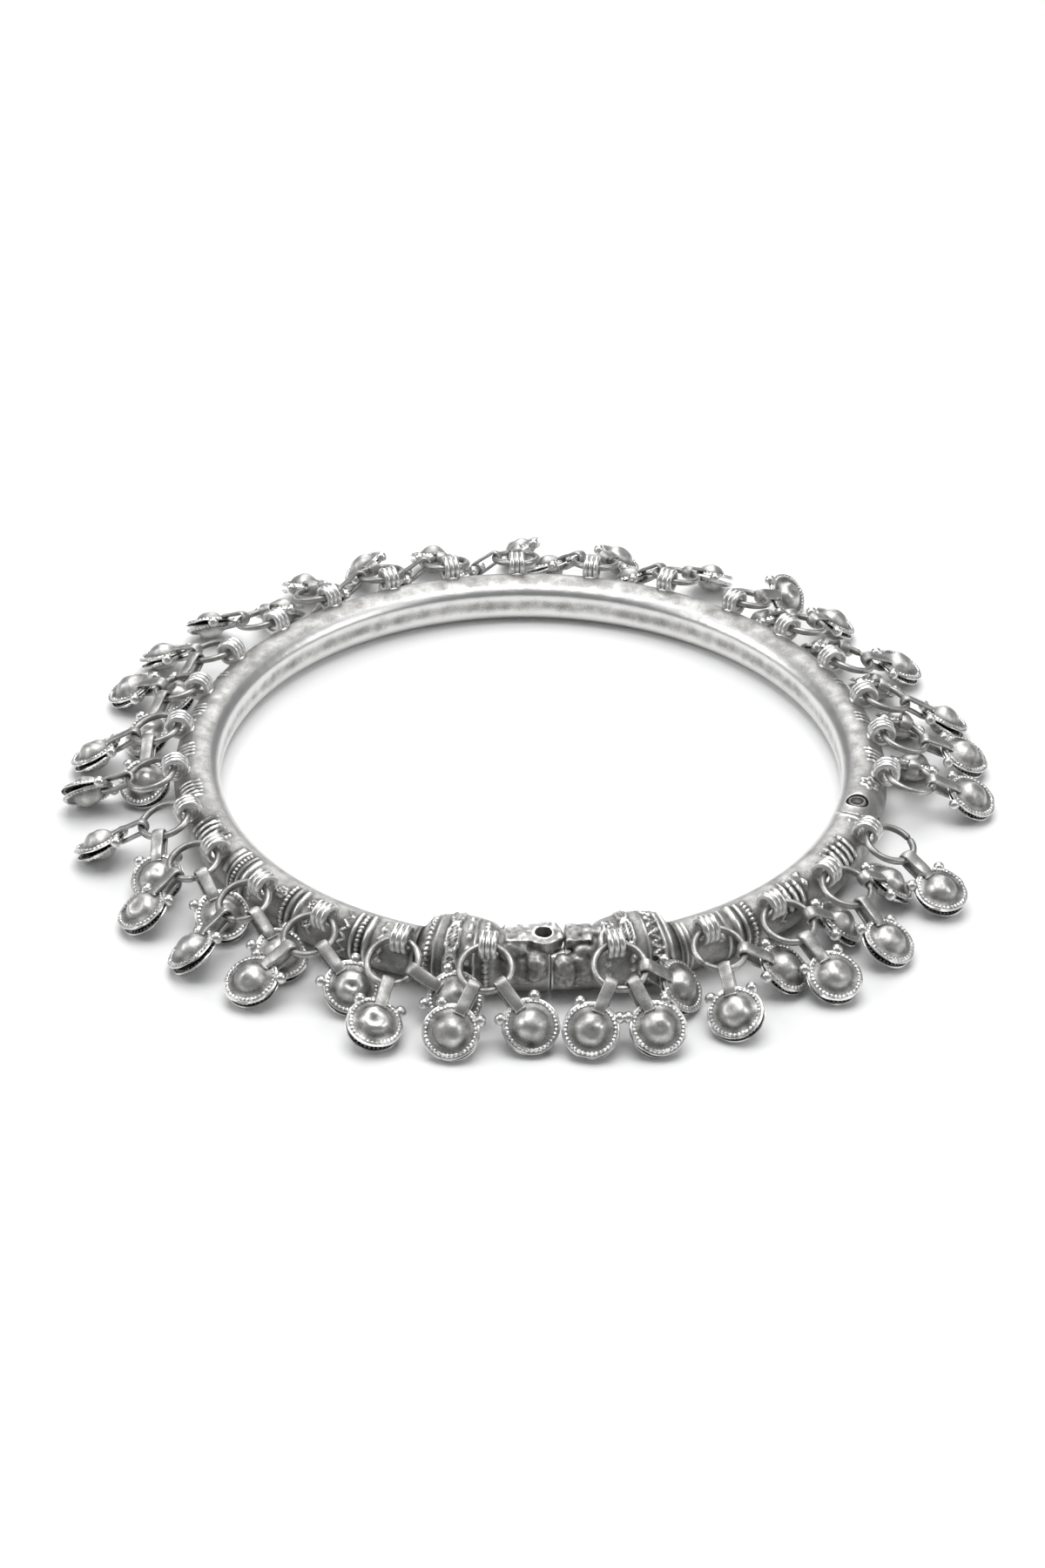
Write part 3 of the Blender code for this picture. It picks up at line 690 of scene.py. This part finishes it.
def restingPoints():  # corners of a plain bell, to find how far it droops
    points = []
    back, half, high = bell["plainHead"]
    for side in (1, -1):
        for radius, height in bell["plainRows"]:
            for number in range(bell["sides"]):
                turn = math.tau * number / bell["sides"]
                point = Vector((radius * math.cos(turn), radius * math.sin(turn), height)) * mm
                points.append(capPlace(side) @ point)
        points += [Vector((back, edge, side * high)) * mm for edge in (-half, half)]
    return points


def settledPlace(ringAt, hook, twist, points):  # droops until the bell rests
    up, down = map(math.radians, bell["droop"])
    for _ in range(bell["droopSteps"]):
        middle = (up + down) / 2
        place = bellPlace(ringAt, hook, twist, middle)
        if min((place @ point).z for point in points) > bell["lowest"]:
            up = middle
        else:
            down = middle
    return bellPlace(ringAt, hook, twist, up)


# ear loop: three wires side by side on a sleeve, with solder under it
earLoop = {
    "wires": ((-0.8, 0.44), (0.0, 0.4), (0.8, 0.44)),  # place along the sleeve and half thickness, in mm
    "wireRadius": 1.62 * mm,
    "sleeve": 1.28 * mm,  # inside radius
    "wall": 0.3 * mm,
    "shorter": 0.1 * mm,
    "sides": 28,
    "solder": (1.5, 1.35, 0.55),  # half sizes in mm
    "solderBelow": 0.45 * mm,
    "uneven": (1.1 * mm, 0.07 * mm),
}


def makeEarLoop(at, rise, seed):
    parts = []
    upright = turned(90, "X").to_euler()
    for where, thick in earLoop["wires"]:
        bpy.ops.mesh.primitive_torus_add(
            major_segments=earLoop["sides"], minor_segments=8, major_radius=earLoop["wireRadius"],
            minor_radius=thick * mm, location=(0, where * mm, 0), rotation=upright,
        )
        parts.append(named("wire"))
    bpy.ops.mesh.primitive_cylinder_add(
        vertices=earLoop["sides"], radius=earLoop["sleeve"] + earLoop["wall"],
        depth=loop["wide"] - earLoop["shorter"], end_fill_type="NOTHING", rotation=upright,
    )
    sleeve = named("sleeve")
    wall = sleeve.modifiers.new("wall", "SOLIDIFY")
    wall.thickness = earLoop["wall"]
    wall.offset = -1
    applyModifiers(sleeve)
    parts.append(sleeve)
    piece = joined("earLoop", parts)
    roughen(piece, *earLoop["uneven"], seed)
    piece.data.transform(loopPlace(at, rise))

    bpy.ops.mesh.primitive_uv_sphere_add(segments=20, ring_count=12, radius=mm)
    solder = named("solder")
    foot = loopPlace(at, rise) @ turned(90 - rise, "Y")
    low = Matrix.Translation((0, 0, -loop["hole"] - earLoop["solderBelow"]))
    solder.data.transform(foot @ low @ Matrix.Diagonal((*earLoop["solder"], 1)))
    return [piece, solder]


# bell: a wall turned from the crown inside, round the rim and up to the crown outside, in mm
bellCap = {
    "rows": (
        (0.25, 1.5), (0.9, 1.38), (1.5, 1.05), (1.95, 0.6), (2.3, 0.2), (2.6, 0.1), (3.3, 0.02),
        (3.76, -0.02), (3.86, 0.08), (3.8, 0.2), (3.5, 0.26), (3.1, 0.31), (2.75, 0.37), (2.5, 0.45),
        (2.3, 0.58), (2.12, 0.78), (1.9, 1.06), (1.6, 1.37), (1.2, 1.65), (0.75, 1.83), (0.3, 1.91),
    ),
    "rimFrom": 3.6 * mm,
    "insideBelow": 1.7 * mm,  # faces that look down and lie lower than this are the inside
    "looksDown": 0.15,  # the normal's upward share is under this
    "sides": 44,
    "beads": 36,
    "beadCircle": 3.3 * mm,
    "beadThick": 0.3 * mm,
    "beadHeight": 0.25 * mm,
    "beadSwell": (0.3, 0.75, 0.6),  # share left between beads, share added on a bead, and how round it is
}


def isInside(face):
    onRim = math.hypot(face.center.x, face.center.y) > bellCap["rimFrom"]
    looksDown = face.normal.z < bellCap["looksDown"]
    return looksDown and face.center.z < bellCap["insideBelow"] and not onRim


def makeBeads():  # a rope of beads on the rim
    bpy.ops.mesh.primitive_torus_add(
        major_segments=bellCap["beads"] * 5, minor_segments=6, major_radius=bellCap["beadCircle"],
        minor_radius=bellCap["beadThick"], location=(0, 0, bellCap["beadHeight"]),
    )
    beads = named("beads")
    places = cornersOf(beads)
    turn = np.arctan2(places[:, 1], places[:, 0])
    middle = np.stack([np.cos(turn) * bellCap["beadCircle"], np.sin(turn) * bellCap["beadCircle"],
                       np.full_like(turn, bellCap["beadHeight"])], axis=1)
    least, added, roundness = bellCap["beadSwell"]
    swell = least + added * np.abs(np.cos(turn * bellCap["beads"] / 2)) ** roundness
    moveCorners(beads, middle + (places - middle) * swell[:, None])
    beads.data.materials.append(bellSilver)
    return beads


def makeCap():
    rows = bellCap["rows"]
    bpy.ops.mesh.primitive_circle_add(
        vertices=bellCap["sides"], radius=rows[0][0] * mm, fill_type="NGON", location=(0, 0, rows[0][1] * mm),
    )
    cap = named("cap")
    pick(cap)
    bpy.ops.object.mode_set(mode="EDIT")
    bpy.ops.mesh.select_all(action="SELECT")
    for (radius, height), (nextRadius, nextHeight) in zip(rows, rows[1:]):
        ratio = nextRadius / radius
        bpy.ops.mesh.extrude_region_move(TRANSFORM_OT_translate={"value": (0, 0, (nextHeight - height) * mm)})
        bpy.ops.transform.resize(value=(ratio, ratio, 1), center_override=(0, 0, 0))
    bpy.ops.mesh.select_all(action="SELECT")
    bpy.ops.mesh.normals_make_consistent(inside=False)
    bpy.ops.object.mode_set(mode="OBJECT")
    cap.data.materials.append(bellSilver)
    cap.data.materials.append(bellInsidePaintedShade)
    # faces inside the cap get the finish with painted shade
    for face in cap.data.polygons:
        face.material_index = int(isInside(face))
    return joined("cap", [cap, makeBeads()])


# strap: folded round the jump ring, its ends soldered on the two caps
bellStrap = {
    "line": ((4.1, 0.66), (3.7, 0.76), (3.2, 0.86), (2.6, 0.86), (1.8, 0.8), (1.0, 0.78), (0.5, 0.78)),
    "bend": (0.0, 0.78),  # where the bend's centre is, and its radius
    "wide": 1.75 * mm,
    "thick": 0.46 * mm,
    "narrower": 0.2,  # share by which its ends are narrower
    "crown": 0.14 * mm,  # how much fuller it is along the middle
    "edge": 0.16 * mm,
    "lipAt": (4.08, 0.82),
    "lip": 0.24 * mm,
    "lipHalf": 0.52,  # share of the strap's width
    "uneven": (1.2 * mm, 0.05 * mm),
}


def makeStrap():
    centre, radius = bellStrap["bend"]
    upper = list(bellStrap["line"])
    bend = [(centre + radius * math.cos(turn), radius * math.sin(turn))
            for turn in np.radians(np.linspace(90, 270, 13))]
    line = np.array(upper + bend + [(x, -z) for x, z in reversed(upper)]) * mm
    bpy.ops.mesh.primitive_grid_add(x_subdivisions=len(line) * 2 - 2, y_subdivisions=6, size=1)
    strap = named("strap")
    grid = cornersOf(strap)
    share = (grid[:, 0] + 0.5) * (len(line) - 1)
    number = np.arange(len(line))
    narrow = 1 - bellStrap["narrower"] * np.abs(grid[:, 0] * 2) ** 6
    crown = bellStrap["crown"] * (1 - (grid[:, 1] * 2) ** 2)
    places = np.stack([np.interp(share, number, line[:, 0]), grid[:, 1] * bellStrap["wide"] * narrow,
                       np.interp(share, number, line[:, 1])], axis=1)
    # away from the middle of the bend, and straight up or down on the arms
    away = np.stack([np.minimum(places[:, 0], 0), 0 * places[:, 1], places[:, 2]], axis=1)
    away /= np.linalg.norm(away, axis=1)[:, None]
    moveCorners(strap, places + away * crown[:, None])
    wall = strap.modifiers.new("wall", "SOLIDIFY")
    wall.thickness = bellStrap["thick"]
    wall.offset = 0
    soft = strap.modifiers.new("soft", "BEVEL")
    soft.width = bellStrap["edge"]
    soft.segments = 2
    soft.angle_limit = math.radians(50)
    applyModifiers(strap)
    parts = [strap]
    along, high = bellStrap["lipAt"]
    for side in (1, -1):  # the fold where each end lies on its cap
        bpy.ops.mesh.primitive_uv_sphere_add(segments=12, ring_count=8, radius=bellStrap["lip"])
        lip = named("lip")
        there = Matrix.Translation((along * mm, 0, side * high * mm))
        across = bellStrap["lipHalf"] * bellStrap["wide"] / bellStrap["lip"]
        lip.data.transform(there @ Matrix.Diagonal((1, across, 1, 1)))
        parts.append(lip)
    return joined("strap", parts)


# two granules stand where the beaded rims end, each on a small neck
granule = {
    "around": 137,  # degrees from the bell's far side
    "balls": ((4.15 * mm, 0.84 * mm, 1.0), (3.5 * mm, 0.62 * mm, 0.7)),  # reach, radius and flatness
}


def makeGranules():
    grains = []
    centre = bell["strap"] + bell["radius"]
    for side in (1, -1):
        turn = math.radians(granule["around"]) * side
        for reach, radius, flat in granule["balls"]:
            bpy.ops.mesh.primitive_uv_sphere_add(segments=14, ring_count=9, radius=radius)
            grain = named("granule")
            there = Matrix.Translation((centre + reach * math.cos(turn), reach * math.sin(turn), 0))
            grain.data.transform(there @ Matrix.Rotation(turn, 4, "Z") @ Matrix.Diagonal((flat, 1, 1, 1)))
            grains.append(grain)
    return grains


# knocks and bends, different on each bell: ranges in mm, and how many dents
knocks = {
    "bend": (0.04, 0.16),
    "dents": (1, 3),
    "fromMiddle": (0.2, 1.7),
    "wide": (0.45, 1.0),
    "deep": (0.08, 0.3),
    "within": 0.62,  # share of the bell's radius that can be dented
    "tip": (-1.2, 0.6),  # degrees that a cap is bent open or shut
    "uneven": (1.3 * mm, 0.12 * mm),
    "seeds": (0, 50),
}


def dentCap(cap, dice):
    places = cornersOf(cap)
    turn = np.arctan2(places[:, 1], places[:, 0])
    reach = np.hypot(places[:, 0], places[:, 1]) / bell["radius"]
    places[:, 2] += dice.uniform(*knocks["bend"]) * mm * np.sin(2 * turn + dice.uniform(0, 6)) * reach ** 2
    for _ in range(dice.randint(*knocks["dents"])):
        spot = dice.uniform(*knocks["fromMiddle"]) * mm
        way = dice.uniform(0, math.tau)
        width = dice.uniform(*knocks["wide"]) * mm
        deep = dice.uniform(*knocks["deep"]) * mm
        away2 = (places[:, 0] - spot * math.cos(way)) ** 2 + (places[:, 1] - spot * math.sin(way)) ** 2
        places[:, 2] -= deep * np.exp(-away2 / width ** 2) * (reach < knocks["within"])
    moveCorners(cap, places)
    roughen(cap, *knocks["uneven"], dice.uniform(*knocks["seeds"]))


capPattern = makeCap()
strapPattern = makeStrap()
granulePatterns = makeGranules()
print("bell pattern modelled")


def makeBell(place, dice):
    parts = []
    for side in (1, -1):
        cap = copied(capPattern, "cap")
        dentCap(cap, dice)
        spin = turned(dice.uniform(0, 360), "Z")
        cap.data.transform(capPlace(side) @ turned(dice.uniform(*knocks["tip"]), "Y") @ spin)
        parts.append(cap)
    for pattern in [strapPattern] + granulePatterns:
        part = copied(pattern, "part")
        roughen(part, *bellStrap["uneven"], dice.uniform(*knocks["seeds"]))
        part.data.materials.clear()
        part.data.materials.append(fittingSilver)
        parts.append(part)
    whole = joined("bell", parts)
    whole.data.transform(place)
    lowest = cornersOf(whole)[:, 2].min()
    whole.data.transform(Matrix.Translation((0, 0, max(0, bell["clear"] - lowest))))
    return whole


def makeRing(place, dice):
    bpy.ops.mesh.primitive_torus_add(
        major_segments=60, minor_segments=10, major_radius=ring["radius"], minor_radius=ring["wire"],
    )
    wire = named("ring")
    places = cornersOf(wire)
    turn = np.arctan2(places[:, 1], places[:, 0])
    jointAt = dice.uniform(-ring["jointWithin"], ring["jointWithin"])
    joint = np.exp(-((turn - jointAt) / ring["jointWide"]) ** 2)
    middle = np.stack([np.cos(turn), np.sin(turn), 0 * turn], axis=1) * ring["radius"]
    moveCorners(wire, middle + (places - middle) * (1 - ring["jointThinner"] * joint)[:, None])
    roughen(wire, *ring["uneven"], dice.uniform(*knocks["seeds"]))
    wire.data.materials.append(ringSilver)
    wire.data.transform(place)
    return wire


def makeDrop(number, at, rise, styleName, points):
    dice = random.Random(100 + number)  # each drop has its own dents
    style = dropStyles[styleName]
    ringAt = ringPlace(at, rise, style)
    parts = [makeRing(ringAt, dice)]
    for hook, twist in style["bells"]:
        parts.append(makeBell(settledPlace(ringAt, hook, twist, points), dice))
    drop = joined(f"bellDrop{number:02d}", parts)
    # marks the hollows for tarnish plus painted crevice shade
    markHollows(drop, *bell["hollows"])
    smooth(drop, 50)
    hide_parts(f"drop_{number:02d}")
    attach(drop, "gate" if number in gateDrops else "hoop")


points = restingPoints()
for number, (at, rise, styleName) in enumerate(drops, 1):
    makeDrop(number, at, rise, styleName, points)
for pattern in [capPattern, strapPattern] + granulePatterns:
    bpy.data.objects.remove(pattern)
print("drops modelled:", len(drops))


# the clasp and the hinge

clasp = {
    "eyeAt": 272.35,
    "eyeRadius": 2.6 * mm,
    "eyeBore": 1.2 * mm,
    "eyeHalf": 1.9 * mm,
    "eyeThick": 1.9 * mm,
    "eyeTop": 9.0 * mm,
    "eyeLong": 5.2 * mm,
    "lugLong": 3.6 * mm,
    # half sizes outward, along and up in mm, angle round the hoop, then place outward and height in mm
    "leftLumps": (
        ((1.9, 1.6, 2.2), 271.25, 3.1, 5.6),  # knob
        ((3.2, 2.9, 2.3), 267.6, 0.3, 6.7),  # shoulder against the collar
        ((2.7, 3.2, 2.9), 268.6, 1.6, 4.6),  # waist
    ),
    "rightLumps": (
        ((2.0, 1.65, 2.5), 275.3, 3.1, 4.7),
        ((3.0, 2.3, 2.2), 278.6, 0.3, 6.6),
        ((2.7, 2.8, 2.9), 277.6, 1.6, 4.5),
        ((1.0, 2.6, 0.8), 278.9, 0.1, 8.6),  # ridge from the lug up to the collar
    ),
}
casting = {
    "edge": 0.85,  # share of a lump's half size that is rounded off
    "fineness": 0.14 * mm,
    "softening": 14,
    "lumpy": (1.6 * mm, 0.3 * mm),
    "pitted": (0.7 * mm, 0.08 * mm),
}
hinge = {
    "tongueThick": 2.4 * mm,
    "tongueRadius": 2.0 * mm,
    "bore": 0.8 * mm,
    "head": 1.35 * mm,
    "recess": 0.8 * mm,
    "headHalf": (0.95 * mm, 0.75 * mm, 0.6 * mm),
    "rim": 1.08 * mm,
    "rimThick": 0.26 * mm,
    "rimLift": 0.15 * mm,
    "hollows": (0.2 * mm, 4),  # depth and rounds for markHollows
}


def post(name, radius, low, high, place, sides=48):
    bpy.ops.mesh.primitive_cylinder_add(
        vertices=sides, radius=radius, depth=high - low, location=(0, 0, (low + high) / 2),
    )
    piece = named(name)
    piece.data.transform(place)
    return piece


def roundedOutline(radius, halfWide, long, steps=16):  # round at the front and straight back from there
    start = -math.acos(min(1.0, halfWide / radius))
    turns = np.linspace(start, math.pi - start, steps)
    arc = [(radius * math.cos(turn), radius * math.sin(turn)) for turn in turns]
    if halfWide > radius:
        arc = [(halfWide, 0.0)] + arc + [(-halfWide, 0.0)]
    return arc + [(-halfWide, -long), (halfWide, -long)]


def plate(name, outline, low, high, place):
    work = bmesh.new()
    face = work.faces.new([work.verts.new((*point, low)) for point in outline])
    walls = bmesh.ops.extrude_face_region(work, geom=[face])
    moved = [part for part in walls["geom"] if isinstance(part, bmesh.types.BMVert)]
    bmesh.ops.translate(work, verts=moved, vec=(0, 0, high - low))
    bmesh.ops.transform(work, matrix=place, verts=work.verts)
    bmesh.ops.recalc_face_normals(work, faces=work.faces)
    mesh = bpy.data.meshes.new(name)
    work.to_mesh(mesh)
    work.free()
    piece = bpy.data.objects.new(name, mesh)
    bpy.context.scene.collection.objects.link(piece)
    return piece


def makeLump(half, azimuth, out, height):
    bpy.ops.mesh.primitive_cube_add(size=2)
    lump = named("lump")
    edge = lump.modifiers.new("edge", "BEVEL")
    edge.width = casting["edge"]
    edge.segments = 4
    applyModifiers(lump)
    lump.data.transform(onHoop(azimuth, out * mm, height * mm) @ Matrix.Diagonal((*(Vector(half) * mm), 1)))
    return lump


def castBlock(name, parts, seed):  # runs the parts into one another like rough casting
    block = joined(name, parts)
    skin = block.modifiers.new("skin", "REMESH")
    skin.mode = "VOXEL"
    skin.voxel_size = casting["fineness"]
    soft = block.modifiers.new("soft", "SMOOTH")
    soft.factor = 0.5
    soft.iterations = casting["softening"]
    applyModifiers(block)
    roughen(block, *casting["lumpy"], seed)
    roughen(block, *casting["pitted"], seed + 3)
    return block


def finishArm(arm, parts, body, node):
    whole = joined(body + "Arm", [arm] + parts)
    whole.data.materials.clear()
    whole.data.materials.append(hoopSilver)
    # marks the hollows for tarnish plus painted crevice shade
    markHollows(whole, *tube["hollows"])
    smooth(whole, 50)
    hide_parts(node)
    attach(whole, body)


hingePlace = onHoop(hoop["hinge"])
eyePlace = onHoop(clasp["eyeAt"])
top = 2 * hoop["tube"]
tongueLow = hoop["tube"] - hinge["tongueThick"] / 2
tongueHigh = hoop["tube"] + hinge["tongueThick"] / 2

# the long arm, from the hinge round the back to the clasp
roundEnd = hoop["hinge"] - 360
longStart = roundEnd - degreesFor(hoop["tube"] - 0.02 * mm)  # just short of the rounded end's point
longArm = makeArm("longArm", longStart, hoop["clasp"], tube["longFine"], roundEnd)
swept = hinge["tongueRadius"] / math.cos(math.radians(hoop["opens"])) + hoop["gap"]
slotOutline = roundedOutline(swept, top, top)
cutAway(longArm, [
    plate("slot", slotOutline, tongueLow - hoop["gap"], tongueHigh + hoop["gap"], hingePlace),
    post("recess", hinge["head"] + hoop["gap"], top - hinge["recess"], top + hoop["tube"], hingePlace),
    post("screwHole", clasp["eyeBore"], 2 * mm, 2 * clasp["eyeTop"], eyePlace),
])
eye = plate("eye", roundedOutline(clasp["eyeRadius"], clasp["eyeHalf"], clasp["eyeLong"]),
            clasp["eyeTop"] - clasp["eyeThick"], clasp["eyeTop"], eyePlace)
leftCast = castBlock("leftCast", [eye] + [makeLump(*lump) for lump in clasp["leftLumps"]], 4)
cutAway(leftCast, [post("screwHole", clasp["eyeBore"], 0, 2 * clasp["eyeTop"], eyePlace)])
longLoops = [part for number, (at, rise, _) in enumerate(drops, 1) if number not in gateDrops
             for part in makeEarLoop(at, rise, number)]
finishArm(longArm, [leftCast] + longLoops, "hoop", "hoop")
print("long arm modelled")

# the gate, from the clasp to the hinge
gateStart = hoop["clasp"] + degreesFor(hoop["gap"])
gateArm = makeArm("gateArm", gateStart, hoop["hinge"], tube["gateFine"])
lugFrom = clasp["eyeRadius"] + hoop["gap"]
lugTo = lugFrom + clasp["lugLong"]
half = clasp["eyeHalf"]
reach = 10 * mm  # past the arm on every side
stepTop = clasp["eyeTop"] - clasp["eyeThick"] - hoop["gap"]
stepOutline = ((-reach, -reach), (reach, -reach), (reach, lugFrom), (-reach, lugFrom))
cutAway(gateArm, [
    post("ears", hoop["tube"] + hoop["gap"], -mm, 3 * hoop["tube"], hingePlace),
    plate("step", stepOutline, stepTop, 2 * reach, eyePlace),
])
tongueOutline = roundedOutline(hinge["tongueRadius"], hinge["tongueRadius"], top)
tongue = plate("tongue", tongueOutline, tongueLow, tongueHigh, hingePlace)
lug = plate("lug", ((-half, lugFrom), (half, lugFrom), (half, lugTo), (-half, lugTo)),
            hoop["tube"], clasp["eyeTop"], eyePlace)
rightCast = castBlock("rightCast", [lug] + [makeLump(*lump) for lump in clasp["rightLumps"]], 9)
gateLoops = [part for number in gateDrops for part in makeEarLoop(*drops[number - 1][:2], number)]
finishArm(gateArm, [tongue, rightCast] + gateLoops, "gate", "gate")
print("gate modelled")

# the rivet
headHeight = top - hinge["recess"] + hoop["gap"]
bpy.ops.mesh.primitive_uv_sphere_add(segments=32, ring_count=16, radius=1)
head = named("rivetHead")
atHead = hingePlace @ Matrix.Translation((0, 0, headHeight))
head.data.transform(atHead @ Matrix.Diagonal((*hinge["headHalf"], 1)))
bpy.ops.mesh.primitive_torus_add(
    major_segments=40, minor_segments=10, major_radius=hinge["rim"], minor_radius=hinge["rimThick"],
)
rim = named("rivetRim")
rim.data.transform(atHead @ Matrix.Translation((0, 0, hinge["rimLift"])))
shank = post("shank", hinge["bore"], hoop["gap"], headHeight, hingePlace, 24)
rivet = joined("rivet", [head, rim, shank])
rivet.data.materials.append(ringSilver)
# marks the hollows for tarnish plus painted crevice shade
markHollows(rivet, *hinge["hollows"])
smooth(rivet)
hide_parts("hinge_rivet")
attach(rivet, "hoop")
print("rivet modelled")


# floor and studio light

studio = {
    "floor": (0.93, 0.93, 0.93),
    "floorSize": 6,
    "floorRoughness": 0.6,
    "sky": (0.9, 0.92, 0.95),
    "skyStrength": 0.2,
    "lamps": (  # place and size in metres, and watts
        ((0.0, 0.10, 0.75), 0.65, 4.8),
        ((0.0, 0.75, 0.50), 0.60, 2.5),
        ((-0.65, 0.0, 0.45), 0.40, 1.6),
        ((0.65, -0.10, 0.45), 0.35, 1.2),
    ),
}

bpy.ops.mesh.primitive_plane_add(size=studio["floorSize"])
floor = named("floor")
paint = bpy.data.materials.new("floorPaint")
paint.use_nodes = True
matt = paint.node_tree.nodes["Principled BSDF"]
matt.inputs["Base Color"].default_value = (*studio["floor"], 1)
matt.inputs["Roughness"].default_value = studio["floorRoughness"]
floor.data.materials.append(paint)

world = bpy.data.worlds.new("studio")
world.use_nodes = True
sky = world.node_tree.nodes["Background"]
sky.inputs["Color"].default_value = (*studio["sky"], 1)
sky.inputs["Strength"].default_value = studio["skyStrength"]
bpy.context.scene.world = world

for place, size, watts in studio["lamps"]:
    bpy.ops.object.light_add(type="AREA", location=place)
    lamp = bpy.context.object
    lamp.data.size = size
    lamp.data.energy = watts
    lamp.rotation_euler = (Vector((0, 0, 0)) - Vector(place)).to_track_quat("-Z", "Y").to_euler()
bpy.context.scene.view_settings.view_transform = "Standard"  # a white floor stays white
print("floor and lamps set")
